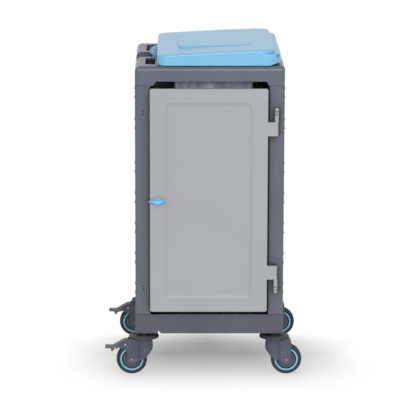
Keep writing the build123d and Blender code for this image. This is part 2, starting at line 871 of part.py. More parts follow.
# Hinge straps: blocks screwed to the post, each with a pin that carries a door ear
def make_strap(spot, sign):
    near = spot + sign * (ear_height / 2 + seat_gap)
    far = near + sign * strap_length
    screws = [near + sign * reach for reach in strap_screw_ends]
    with BuildPart() as strap:
        with BuildSketch(Plane.XZ.offset(half_depth)) as outline:
            with Locations((hinge_x, (near + far) / 2)):
                Rectangle(strap_width, strap_length)
            fillet(outline.vertices().sort_by(lambda v: sign * v.Y)[-2:], strap_end_round)
        extrude(amount=door_proud)
        front = strap.faces().sort_by(Axis.Y)[0].edges()
        fillet(front.sort_by(lambda e: sign * e.center().Z)[1:], strap_edge_round)
        with BuildSketch(Plane.XZ.offset(door_face)):
            with Locations([(hinge_x, height) for height in screws]):
                Circle(strap_screw_head_radius + plug_gap)
        extrude(amount=-strap_screw_head_depth - plug_gap, mode=Mode.SUBTRACT)
        with BuildSketch(Plane.XZ.offset(half_depth)):
            with Locations([(hinge_x, height) for height in screws]):
                Circle(strap_screw_radius + fit_gap)
        extrude(amount=door_proud, mode=Mode.SUBTRACT)
        with BuildSketch(Plane.XY.offset(near)):
            with Locations((hinge_x, hinge_y)):
                Circle(hinge_pin_radius)
        extrude(amount=-sign * hinge_pin_length)
    return strap


save(make_strap(ear_spots[0], strap_signs[0]), "upper_hinge_strap")
save(make_strap(ear_spots[1], strap_signs[1]), "lower_hinge_strap")

screw_seat = door_face - strap_screw_head_depth - plug_gap
with BuildPart() as hinge_strap_screws:
    with BuildSketch(Plane.XZ.offset(screw_seat)):
        with Locations([(hinge_x, height) for height in screw_heights]):
            Circle(strap_screw_head_radius)
    extrude(amount=strap_screw_head_depth)
    with BuildSketch(Plane.XZ.offset(screw_seat)):
        with Locations([(hinge_x, height) for height in screw_heights]):
            Circle(strap_screw_radius)
    extrude(amount=-strap_screw_length)
save(hinge_strap_screws, "hinge_strap_screws")

# Latch: bush in the door, knob with its spindle, tongue and screw behind
knob_back = door_face + bush_flange_depth + turn_gap

with BuildPart() as latch_bush:
    with BuildSketch(Plane.XZ.offset(door_face)):
        with Locations((latch_x, latch_height)):
            Circle(bush_flange_radius)
    extrude(amount=bush_flange_depth)
    with BuildSketch(Plane.XZ.offset(door_face)):
        with Locations((latch_x, latch_height)):
            Circle(bush_radius)
    extrude(amount=-door_thickness)
    with BuildSketch(Plane.XZ.offset(door_back)):
        with Locations((latch_x, latch_height)):
            Circle(spindle_radius + turn_gap)
    extrude(amount=door_thickness + bush_flange_depth, mode=Mode.SUBTRACT)
save(latch_bush, "latch_bush")

with BuildPart() as latch_knob:
    # Long diamond with a rounded waist that narrows towards its front
    for share, depth in ((1, knob_base_depth), (knob_crown, knob_depth)):
        tip = share * knob_length / 2
        waist = share * knob_width / 2
        with BuildSketch(Plane.XZ.offset(knob_back + depth)) as diamond:
            Polygon(
                (latch_x - tip, latch_height),
                (latch_x, latch_height - waist),
                (latch_x + tip, latch_height),
                (latch_x, latch_height + waist),
                align=None,
            )
            across = diamond.vertices().sort_by(Axis.X)
            fillet(across[1:3], share * knob_waist_round)
            across = diamond.vertices().sort_by(Axis.X)
            fillet([across[0], across[-1]], share * knob_tip_round)
    loft()
    with BuildSketch(Plane.XZ.offset(knob_back)):
        with Locations((latch_x, latch_height)):
            Circle(knob_base_radius)
    extrude(amount=knob_base_depth)
    with BuildSketch(Plane.XZ.offset(knob_back)):
        with Locations((latch_x, latch_height)):
            Circle(spindle_radius)
    extrude(amount=tongue_front - knob_back)
    with BuildSketch(Plane.XZ.offset(tongue_front)):
        with Locations((latch_x, latch_height)):
            Rectangle(spindle_square, spindle_square)
    extrude(amount=-tongue_thickness)
    with BuildSketch(Plane.XZ.offset(tongue_back)):
        with Locations((latch_x, latch_height)):
            Circle(latch_screw_radius + fit_gap)
    extrude(amount=latch_screw_length + rest_gap, mode=Mode.SUBTRACT)
save(latch_knob, "latch_knob")

with BuildPart() as latch_tongue:
    with BuildSketch(Plane.XZ.offset(tongue_front)):
        with Locations((latch_x, latch_height)):
            Circle(tongue_width / 2)
        with Locations((latch_x, latch_height - tongue_length / 2)):
            Rectangle(tongue_width, tongue_length)
        with Locations((latch_x, latch_height)):
            Rectangle(spindle_square + 2 * fit_gap, spindle_square + 2 * fit_gap, mode=Mode.SUBTRACT)
    extrude(amount=-tongue_thickness)
save(latch_tongue, "latch_tongue")

with BuildPart() as latch_screw:
    with BuildSketch(Plane.XZ.offset(tongue_back)):
        with Locations((latch_x, latch_height)):
            Circle(latch_screw_head_radius)
    extrude(amount=-latch_screw_head_depth)
    with BuildSketch(Plane.XZ.offset(tongue_back)):
        with Locations((latch_x, latch_height)):
            Circle(latch_screw_radius)
    extrude(amount=latch_screw_length)
save(latch_screw, "latch_screw")

# Bag ring, lying in its recess round the mouth
ring_outer_x = mouth_width + 2 * (ring_recess_width - rest_gap)
ring_outer_y = mouth_depth + 2 * (ring_recess_width - rest_gap)
ring_outer_round = mouth_round + ring_recess_width - rest_gap
ring_inner_x = mouth_width - 2 * ring_overhang
ring_inner_y = mouth_depth - 2 * ring_overhang
ring_inner_round = mouth_round - ring_overhang

with BuildPart() as bag_ring:
    with BuildSketch(Plane.XY.offset(ring_floor)):
        with Locations((mouth_x, 0)):
            RectangleRounded(ring_outer_x, ring_outer_y, ring_outer_round)
            RectangleRounded(ring_inner_x, ring_inner_y, ring_inner_round, mode=Mode.SUBTRACT)
    extrude(amount=ring_height)
save(bag_ring, "bag_ring")

# Waste bag: open shell that hangs through the ring with its edge turned out over it
bag_edge = ring_floor + ring_height + seat_gap
bag_throat = ring_floor - rest_gap
bag_bottom = tray_floor + tray_thickness + seat_gap
bag_sections = [
    (bag_edge + bag_film, 0, ring_inner_round - seat_gap),
    (bag_throat, 0, ring_inner_round - seat_gap),
    (bag_edge - bag_neck_drop, bag_neck_inset, bag_neck_corner),
    (bag_edge - bag_belly_drop, bag_belly_inset, bag_corner),
    (bag_bottom + bag_floor_round, bag_foot_inset, bag_corner),
    (bag_bottom, bag_foot_inset + bag_floor_inset, bag_corner),
]


def bag_outline(inset, corner):
    with Locations((mouth_x, 0)):
        RectangleRounded(ring_inner_x - 2 * (inset + seat_gap), ring_inner_y - 2 * (inset + seat_gap), corner)


with BuildPart() as waste_bag:
    for height, inset, corner in bag_sections:
        with BuildSketch(Plane.XY.offset(height)):
            bag_outline(inset, corner)
    loft(ruled=True)
    with BuildSketch(Plane.XY.offset(bag_edge)):
        with Locations((mouth_x, 0)):
            RectangleRounded(ring_outer_x, ring_outer_y, ring_outer_round)
    extrude(amount=bag_film)
    for height, inset, corner in bag_sections[:-1]:
        with BuildSketch(Plane.XY.offset(height)):
            bag_outline(inset + bag_film, corner - bag_film)
    with BuildSketch(Plane.XY.offset(bag_bottom + bag_film)):
        bag_outline(bag_sections[-1][1] + bag_film, bag_corner - bag_film)
    loft(ruled=True, mode=Mode.SUBTRACT)
save(waste_bag, "waste_bag")

# Casters
socket_floor = base_top - spigot_length - plug_gap
heel_mid = (fork_heel_z + fork_top) / 2
shoulder = fork_front - fork_crown_front


def make_fork(side, end):
    plane = caster_plane(side, end)
    braked = side < 0
    half_turn = 0.5**0.5
    with BuildPart() as fork:
        with BuildSketch(plane) as outline:
            with BuildLine():
                top = Line((-fork_crown_back, fork_top), (fork_crown_front, fork_top))
                front = ThreePointArc(
                    top @ 1,
                    (fork_front - shoulder * (1 - half_turn), fork_top - shoulder * (1 - half_turn)),
                    (fork_front, fork_top - shoulder),
                )
                side_line = Line(front @ 1, (caster_trail + fork_arm_round, axle_height))
                arm = ThreePointArc(
                    side_line @ 1,
                    (caster_trail, axle_height - fork_arm_round),
                    (caster_trail - fork_arm_round * half_turn, axle_height - fork_arm_round * half_turn),
                )
                knee = Line(arm @ 1, (-fork_knee_x, fork_knee_z))
                heel = Line(knee @ 1, (-fork_heel_x, fork_heel_z))
                ThreePointArc(heel @ 1, (-fork_back, heel_mid), top @ 0)
            make_face()
            fillet([v for v in outline.vertices() if v.X < caster_trail - axle_radius], fork_corner)
        extrude(amount=fork_back, both=True)
        # Round housing about the swivel axis, flat cheeks beside the wheel
        with BuildSketch(Plane.XY):
            with Locations((side * caster_x, end * caster_y)):
                Circle(fork_back)
            with Locations((side * (caster_x + fork_arm_start + fork_front / 2), end * caster_y)):
                Rectangle(fork_front, 2 * fork_half)
        extrude(amount=fork_top, mode=Mode.INTERSECT)
        if braked:
            # Cheeks that carry the brake pedal
            with BuildSketch(plane) as cheek:
                Polygon(
                    (fork_crown_front - cheek_root, fork_top - cheek_root),
                    (pedal_pivot_x, pedal_pivot_z + cheek_rise),
                    (pedal_pivot_x + cheek_reach, pedal_pivot_z + cheek_tip_rise),
                    (pedal_pivot_x + cheek_reach, pedal_pivot_z - cheek_drop),
                    (fork_crown_front - cheek_root, pedal_pivot_z - 2 * cheek_drop),
                    align=None,
                )
                fillet(cheek.vertices().sort_by(Axis.X)[-2:], cheek_round)
            extrude(amount=fork_half, both=True)
        # Room for the wheel, the stem head and the pedal
        with BuildSketch(plane):
            with Locations((caster_trail, axle_height)):
                Circle(wheel_diameter / 2 + tyre_clearance)
            with Locations((caster_trail, axle_height / 2)):
                Rectangle(wheel_diameter + 2 * tyre_clearance, axle_height)
            if braked:
                with Locations((crown_face + fork_front / 2, fork_top)):
                    Rectangle(fork_front, 2 * (fork_top - axle_height))
        extrude(amount=slot_half, both=True, mode=Mode.SUBTRACT)
        with BuildSketch(Plane.XY.offset(axle_height)):
            with Locations((side * caster_x, end * caster_y)):
                Circle(stem_head_radius + rest_gap)
        extrude(amount=stem_head_height + stem_head_depth + turn_gap - axle_height, mode=Mode.SUBTRACT)
        with BuildSketch(Plane.XY.offset(axle_height)):
            with Locations((side * caster_x, end * caster_y)):
                Circle(stem_radius + turn_gap)
        extrude(amount=fork_top - axle_height, mode=Mode.SUBTRACT)
        with BuildSketch(plane):
            with Locations((caster_trail, axle_height)):
                Circle(axle_radius + fit_gap)
            if braked:
                with Locations((pedal_pivot_x, pedal_pivot_z)):
                    Circle(pedal_pin_radius + fit_gap)
        extrude(amount=fork_half, both=True, mode=Mode.SUBTRACT)
    return fork


def make_pin(plane, spot, radius, head_radius, head_depth, seat_half):
    # Headed cross pin through both cheeks of a fork
    with BuildPart() as pin:
        with BuildSketch(plane):
            with Locations(spot):
                Circle(radius)
        extrude(amount=seat_half, both=True)
        for face in (-1, 1):
            with BuildSketch(plane.offset(face * seat_half)):
                with Locations(spot):
                    Circle(head_radius)
            extrude(amount=face * head_depth)
    return pin


def make_ring(plane, inner, outer, half, rounding):
    # Ring of the wheel, round the axle
    with BuildPart() as ring:
        with BuildSketch(plane):
            with Locations((caster_trail, axle_height)):
                Circle(outer)
                Circle(inner, mode=Mode.SUBTRACT)
        extrude(amount=half, both=True)
        rims = ring.edges().filter_by(GeomType.CIRCLE).group_by(lambda e: round(e.radius, 3))[-1]
        fillet(rims, rounding)
    return ring


for corner, (side, end) in corners.items():
    plane = caster_plane(side, end)
    axis_spot = (side * caster_x, end * caster_y)
    axle_spot = (caster_trail, axle_height)

    with BuildPart() as bumper:
        low = boss_bottom
        high = low + bumper_height
        shelf = low + bumper_rim
        bulge_x = bumper_crown_radius + (bumper_radius - bumper_crown_radius) * bumper_bulge
        bulge_z = shelf + (high - shelf) * bumper_bulge
        with BuildSketch(plane) as section:
            with BuildLine():
                outer = Polyline(
                    (bumper_crown_radius, high),
                    (boss_radius + turn_gap, high),
                    (boss_radius + turn_gap, low),
                    (bumper_radius, low),
                    (bumper_radius, shelf),
                )
                ThreePointArc(outer @ 1, (bulge_x, bulge_z), outer @ 0)
            make_face()
        revolve(axis=Axis((*axis_spot, 0), (0, 0, 1)))
    save(bumper, f"{corner}_bumper")

    with BuildPart() as stem:
        with BuildSketch(Plane.XY.offset(stem_head_height)):
            with Locations(axis_spot):
                Circle(stem_head_radius)
        extrude(amount=stem_head_depth)
        with BuildSketch(Plane.XY.offset(stem_head_height)):
            with Locations(axis_spot):
                Circle(stem_radius)
        extrude(amount=socket_floor + stem_nut_depth + stem_tip - stem_head_height)
    save(stem, f"{corner}_caster_stem")

    with BuildPart() as bearing:
        with BuildSketch(Plane.XY.offset(fork_top)):
            with Locations(axis_spot):
                Circle(boss_radius + bearing_overlap)
                Circle(stem_radius + turn_gap, mode=Mode.SUBTRACT)
        extrude(amount=bearing_height)
    save(bearing, f"{corner}_swivel_bearing")

    save(make_fork(side, end), f"{corner}_fork")
    axle = make_pin(plane, axle_spot, axle_radius, axle_head_radius, axle_head_depth, fork_half)
    save(axle, f"{corner}_axle")

    with BuildPart() as hub:
        with BuildSketch(plane):
            with Locations(axle_spot):
                Circle(hub_barrel_radius)
        extrude(amount=slot_half - rest_gap, both=True)
        with BuildSketch(plane):
            with Locations(axle_spot):
                Circle(ring_inner_radius - fit_gap)
        extrude(amount=hub_web / 2, both=True)
        with BuildSketch(plane):
            with Locations(axle_spot):
                Circle(hub_face_radius)
        extrude(amount=wheel_width / 2 - hub_sink, both=True)
        with BuildSketch(plane):
            with Locations(axle_spot):
                Circle(axle_radius + turn_gap)
        extrude(amount=slot_half, both=True, mode=Mode.SUBTRACT)
    save(hub, f"{corner}_wheel_hub")

    ring = make_ring(plane, ring_inner_radius, ring_outer_radius, wheel_width / 2 - 2 * fit_gap, 2 * fit_gap)
    save(ring, f"{corner}_wheel_ring")
    tyre = make_ring(plane, ring_outer_radius + fit_gap, wheel_diameter / 2, wheel_width / 2, tread_round)
    save(tyre, f"{corner}_tyre")

with BuildPart() as stem_nuts:
    with BuildSketch(Plane.XY.offset(socket_floor)):
        with GridLocations(2 * caster_x, 2 * caster_y, 2, 2):
            RegularPolygon(stem_nut_radius, 6)
            Circle(stem_radius + fit_gap, mode=Mode.SUBTRACT)
    extrude(amount=stem_nut_depth)
save(stem_nuts, "stem_nuts")

# Brake pedals on the two casters under the hand grips
for end in (-1, 1):
    plane = caster_plane(-1, end)
    pivot = (pedal_pivot_x, pedal_pivot_z)
    name = "front_left" if end < 0 else "rear_left"
    with BuildPart() as pedal:
        tip_top = pedal_tip_height + pedal_tip_thickness / 2
        tip_low = pedal_tip_height - pedal_tip_thickness / 2
        bend_x = pedal_pivot_x + pedal_bend_reach
        shoe_x = pedal_pivot_x + pedal_shoe_reach
        shoe_z = pedal_pivot_z - pedal_shoe_drop
        with BuildSketch(plane) as profile:
            Polygon(
                (pedal_pivot_x - pedal_heel_reach, pedal_pivot_z + pedal_top_rise),
                (pedal_pivot_x + pedal_shoulder_reach, pedal_pivot_z + pedal_top_rise - pedal_shoulder_drop),
                (bend_x, tip_top),
                (bend_x + 2 * pedal_tip_thickness, tip_top),
                (pedal_reach, tip_top + pedal_tip_lift),
                (pedal_reach, tip_low + pedal_tip_lift),
                (bend_x + pedal_tip_thickness, tip_low - pedal_tip_lift),
                (pedal_pivot_x + pedal_lobe_reach, pedal_pivot_z - pedal_lobe_drop),
                (shoe_x + pedal_shoe_length, shoe_z - pedal_shoe_length / 2),
                (shoe_x, shoe_z),
                (pedal_pivot_x, pedal_pivot_z - pedal_boss_radius),
                (pedal_pivot_x - pedal_heel_reach, pedal_pivot_z),
                align=None,
            )
            fillet(profile.vertices(), pedal_round)
            with Locations((pedal_pivot_x + pedal_lobe_reach, pedal_pivot_z - pedal_lobe_drop)):
                Circle(pedal_lobe_radius)
            with Locations(pivot):
                Circle(pedal_boss_radius)
                Circle(pedal_pin_radius + turn_gap, mode=Mode.SUBTRACT)
        extrude(amount=slot_half - pedal_side_gap, both=True)
    save(pedal, f"{name}_brake_pedal")
    pin = make_pin(plane, pivot, pedal_pin_radius, pedal_pin_head_radius, pedal_pin_head_depth, fork_half)
    save(pin, f"{name}_pedal_pin")
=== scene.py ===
import json
import math

import bpy
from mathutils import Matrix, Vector


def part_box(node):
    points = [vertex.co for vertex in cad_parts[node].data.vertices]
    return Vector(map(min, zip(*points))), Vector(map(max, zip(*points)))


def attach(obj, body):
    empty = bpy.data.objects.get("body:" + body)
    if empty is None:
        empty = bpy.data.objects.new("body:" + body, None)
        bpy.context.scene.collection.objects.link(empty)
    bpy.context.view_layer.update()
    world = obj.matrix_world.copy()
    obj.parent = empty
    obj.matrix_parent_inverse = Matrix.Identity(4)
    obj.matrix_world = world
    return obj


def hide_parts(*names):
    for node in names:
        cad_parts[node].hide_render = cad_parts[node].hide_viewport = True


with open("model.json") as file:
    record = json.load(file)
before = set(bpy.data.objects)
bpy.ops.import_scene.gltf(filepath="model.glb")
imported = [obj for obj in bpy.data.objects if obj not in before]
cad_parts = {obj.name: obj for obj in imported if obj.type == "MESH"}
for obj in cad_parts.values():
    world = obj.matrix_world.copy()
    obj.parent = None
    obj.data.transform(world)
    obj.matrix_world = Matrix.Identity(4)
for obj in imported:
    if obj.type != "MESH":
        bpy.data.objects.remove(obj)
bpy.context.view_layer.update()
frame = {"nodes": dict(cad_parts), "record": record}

nodes = frame["nodes"]
corners = ("front_left", "front_right", "rear_left", "rear_right")
facing = 0.9  # a face whose normal passes this points that way
print("cart frame loaded,", len(nodes), "nodes")


# small helpers
def dropSelection():
    active = bpy.context.view_layer.objects.active
    if active and active.mode != "OBJECT":
        bpy.ops.object.mode_set(mode="OBJECT")
    bpy.ops.object.select_all(action="DESELECT")


def makeActive(piece):
    dropSelection()
    piece.select_set(True)
    bpy.context.view_layer.objects.active = piece


def applyModifier(piece, modifier):
    makeActive(piece)
    bpy.ops.object.modifier_apply(modifier=modifier.name)


def settle(piece):
    makeActive(piece)
    bpy.ops.object.transform_apply(location=True, rotation=True, scale=True)


def startPicking(piece, mode):
    makeActive(piece)
    bpy.ops.object.mode_set(mode="EDIT")
    bpy.ops.mesh.select_mode(type=mode)
    bpy.ops.mesh.select_all(action="DESELECT")
    bpy.ops.object.mode_set(mode="OBJECT")


def pickFaces(piece, wanted):
    startPicking(piece, "FACE")
    for face in piece.data.polygons:
        face.select = wanted(face)
    bpy.ops.object.mode_set(mode="EDIT")


def pickEdges(piece, wanted):
    startPicking(piece, "EDGE")
    for edge in piece.data.edges:
        edge.select = wanted([piece.data.vertices[index].co for index in edge.vertices])
    bpy.ops.object.mode_set(mode="EDIT")


def faceOutwards(piece):
    makeActive(piece)
    bpy.ops.object.mode_set(mode="EDIT")
    bpy.ops.mesh.select_all(action="SELECT")
    bpy.ops.mesh.normals_make_consistent(inside=False)
    bpy.ops.object.mode_set(mode="OBJECT")


def addBar(look, radius, depth, place):
    # round bar that lies front to back
    dropSelection()
    bpy.ops.mesh.primitive_cylinder_add(
        vertices=look["sides"], radius=radius, depth=depth, location=place, rotation=(math.pi / 2, 0, 0),
    )
    piece = bpy.context.object
    settle(piece)
    return piece


def finishPiece(piece, look, finish):
    bpy.ops.object.mode_set(mode="OBJECT")
    bpy.ops.object.shade_smooth_by_angle(angle=math.radians(look["smooth"]))
    piece.data.materials.append(finishes[finish])


def copyPiece(piece, name, move, scale=(1.0, 1.0, 1.0)):
    twin = piece.copy()
    twin.data = piece.data.copy()
    bpy.context.collection.objects.link(twin)
    twin.name = name
    twin.location = move
    twin.scale = scale
    settle(twin)
    return twin


# shader helpers
def addNode(tree, kind, **settings):
    node = tree.nodes.new(kind)
    for key, value in settings.items():
        setattr(node, key, value)
    return node


def feed(tree, value, socket):
    if isinstance(value, (int, float)):
        socket.default_value = value
    elif isinstance(value, tuple):
        socket.default_value = (*value, 1.0)
    else:
        tree.links.new(value, socket)


def addMath(tree, operation, first, second, clamp=False):
    node = addNode(tree, "ShaderNodeMath", operation=operation, use_clamp=clamp)
    feed(tree, first, node.inputs[0])
    feed(tree, second, node.inputs[1])
    return node.outputs[0]


def addMix(tree, factor, first, second):
    node = addNode(tree, "ShaderNodeMix", data_type="RGBA")
    for index, value in ((0, factor), (6, first), (7, second)):  # colour sockets of the node
        feed(tree, value, node.inputs[index])
    return node.outputs[2]


def addRange(tree, value, fromLow, fromHigh, toLow, toHigh):
    node = addNode(tree, "ShaderNodeMapRange")
    tree.links.new(value, node.inputs["Value"])
    limits = {"From Min": fromLow, "From Max": fromHigh, "To Min": toLow, "To Max": toHigh}
    for label, number in limits.items():
        node.inputs[label].default_value = number
    return node.outputs["Result"]


def addNoise(tree, place, scale, detail):
    node = addNode(tree, "ShaderNodeTexNoise")
    node.inputs["Detail"].default_value = detail
    tree.links.new(place, node.inputs["Vector"])
    feed(tree, scale, node.inputs["Scale"])
    return node.outputs[0]


def addBump(tree, height, strength, distance, normal=None):
    node = addNode(tree, "ShaderNodeBump")
    node.inputs["Strength"].default_value = strength
    node.inputs["Distance"].default_value = distance
    tree.links.new(height, node.inputs["Height"])
    if normal is not None:
        tree.links.new(normal, node.inputs["Normal"])
    return node.outputs[0]


def splitParts(tree, vector):
    node = addNode(tree, "ShaderNodeSeparateXYZ")
    tree.links.new(vector, node.inputs[0])
    return node.outputs


def objectPlace(tree):
    return addNode(tree, "ShaderNodeTexCoord").outputs["Object"]


def startGroup(name, inputs, outputs):
    group = bpy.data.node_groups.new(name, "ShaderNodeTree")
    for label, value in inputs:
        socket = group.interface.new_socket(label, in_out="INPUT", socket_type="NodeSocketFloat")
        socket.default_value = value
    for label, kind in outputs:
        group.interface.new_socket(label, in_out="OUTPUT", socket_type=kind)
    return group, addNode(group, "NodeGroupInput").outputs, addNode(group, "NodeGroupOutput").inputs


def placeGroup(tree, group, values):
    node = addNode(tree, "ShaderNodeGroup", node_tree=group)
    for label, value in values.items():
        node.inputs[label].default_value = value
    return node.outputs


def startMaterial(name):
    material = bpy.data.materials.new(name)
    material.use_nodes = True
    tree = material.node_tree
    return material, tree, tree.nodes["Principled BSDF"].inputs


# effects shared by several finishes
skinNoise = {"grainDetail": 3.0, "cloudDetail": 2.0, "polishDetail": 5.0, "polishScale": 28.0}


def buildMouldSkin():
    # fine grain of a textured mould and slow tone clouds from uneven cooling
    group, start, end = startGroup(
        "mouldSkin",
        [("Grain Scale", 900.0), ("Cloud Scale", 4.0)],
        [("Grain", "NodeSocketFloat"), ("Cloud", "NodeSocketFloat"), ("Polish", "NodeSocketFloat")],
    )
    place = objectPlace(group)
    grain = addNoise(group, place, start["Grain Scale"], skinNoise["grainDetail"])
    cloud = addNoise(group, place, start["Cloud Scale"], skinNoise["cloudDetail"])
    polish = addNoise(group, place, skinNoise["polishScale"], skinNoise["polishDetail"])
    group.links.new(grain, end["Grain"])
    group.links.new(cloud, end["Cloud"])
    group.links.new(polish, end["Polish"])
    return group


wearMask = {"raySamples": 6, "detail": 4.0, "patchBand": (0.42, 0.62)}


def buildEdgeWear():
    # mask along convex edges, broken up, and the normal of the softened edge
    group, start, end = startGroup(
        "edgeWear",
        [("Radius", 0.0015), ("Breakup", 90.0), ("Amount", 3.0)],
        [("Edge", "NodeSocketFloat"), ("Normal", "NodeSocketVector")],
    )
    soft = addNode(group, "ShaderNodeBevel", samples=wearMask["raySamples"])
    group.links.new(start["Radius"], soft.inputs["Radius"])
    match = addNode(group, "ShaderNodeVectorMath", operation="DOT_PRODUCT")
    group.links.new(soft.outputs["Normal"], match.inputs[0])
    group.links.new(addNode(group, "ShaderNodeNewGeometry").outputs["Normal"], match.inputs[1])
    turn = addMath(group, "SUBTRACT", 1.0, match.outputs["Value"], clamp=True)
    strong = addMath(group, "MULTIPLY", turn, start["Amount"], clamp=True)
    noise = addNoise(group, objectPlace(group), start["Breakup"], wearMask["detail"])
    patches = addRange(group, noise, *wearMask["patchBand"], 0.0, 1.0)
    group.links.new(addMath(group, "MULTIPLY", strong, patches, clamp=True), end["Edge"])
    group.links.new(soft.outputs["Normal"], end["Normal"])
    return group


dustMask = {"upBand": (0.55, 1.0), "detail": 6.0, "patchBand": (0.38, 0.66), "patchShare": (0.15, 1.0)}


def buildSettledDust():
    # pale dust that lies on upward faces and thickens near the floor
    group, start, end = startGroup(
        "settledDust",
        [("Upward", 0.3), ("Floor Reach", 0.12), ("Floor Share", 0.3), ("Patch Scale", 35.0)],
        [("Dust", "NodeSocketFloat")],
    )
    place = objectPlace(group)
    normal = splitParts(group, addNode(group, "ShaderNodeNewGeometry").outputs["Normal"])
    up = addRange(group, normal["Z"], *dustMask["upBand"], 0.0, 1.0)
    lying = addMath(group, "MULTIPLY", up, start["Upward"])
    near = addMath(group, "DIVIDE", splitParts(group, place)["Z"], start["Floor Reach"])
    low = addMath(group, "SUBTRACT", 1.0, near, clamp=True)
    floorDust = addMath(group, "MULTIPLY", low, start["Floor Share"])
    noise = addNoise(group, place, start["Patch Scale"], dustMask["detail"])
    patches = addRange(group, noise, *dustMask["patchBand"], *dustMask["patchShare"])
    total = addMath(group, "ADD", lying, floorDust)
    group.links.new(addMath(group, "MULTIPLY", total, patches, clamp=True), end["Dust"])
    return group


scuffMask = {"tilts": (0.35, -0.6), "scale": 1.0, "detail": 1.0, "contrast": 9.0}


def buildHairScuffs():
    # sparse hairline scuffs from wiping, in two crossing directions
    group, start, end = startGroup(
        "hairScuffs",
        [("Length Scale", 6.0), ("Width Scale", 420.0), ("Density", 0.66)],
        [("Scuff", "NodeSocketFloat")],
    )
    place = objectPlace(group)
    stretch = {"X": "Length Scale", "Y": "Width Scale", "Z": "Width Scale"}
    strokes = []
    for tilt in scuffMask["tilts"]:
        turned = addNode(group, "ShaderNodeVectorRotate", rotation_type="EULER_XYZ")
        turned.inputs["Rotation"].default_value = (tilt, tilt, tilt)
        group.links.new(place, turned.inputs["Vector"])
        split = splitParts(group, turned.outputs[0])
        join = addNode(group, "ShaderNodeCombineXYZ")
        for axis, label in stretch.items():
            group.links.new(addMath(group, "MULTIPLY", split[axis], start[label]), join.inputs[axis])
        noise = addNoise(group, join.outputs[0], scuffMask["scale"], scuffMask["detail"])
        over = addMath(group, "SUBTRACT", noise, start["Density"])
        strokes.append(addMath(group, "MULTIPLY", over, scuffMask["contrast"], clamp=True))
    group.links.new(addMath(group, "MAXIMUM", *strokes), end["Scuff"])
    return group


gapMask = {"raySamples": 10}


def buildGapShade():
    # painted shade: colour darkened in gaps and inner corners, where occlusion is high
    group, start, end = startGroup(
        "gapShade", [("Reach", 0.035), ("Curve", 1.3)], [("Depth", "NodeSocketFloat")],
    )
    near = addNode(group, "ShaderNodeAmbientOcclusion", samples=gapMask["raySamples"])
    group.links.new(start["Reach"], near.inputs["Distance"])
    shut = addMath(group, "SUBTRACT", 1.0, near.outputs["AO"], clamp=True)
    group.links.new(addMath(group, "POWER", shut, start["Curve"]), end["Depth"])
    return group


mouldSkin = buildMouldSkin()
edgeWear = buildEdgeWear()
gapShade = buildGapShade()
settledDust = buildSettledDust()
hairScuffs = buildHairScuffs()
print("shared effects built")


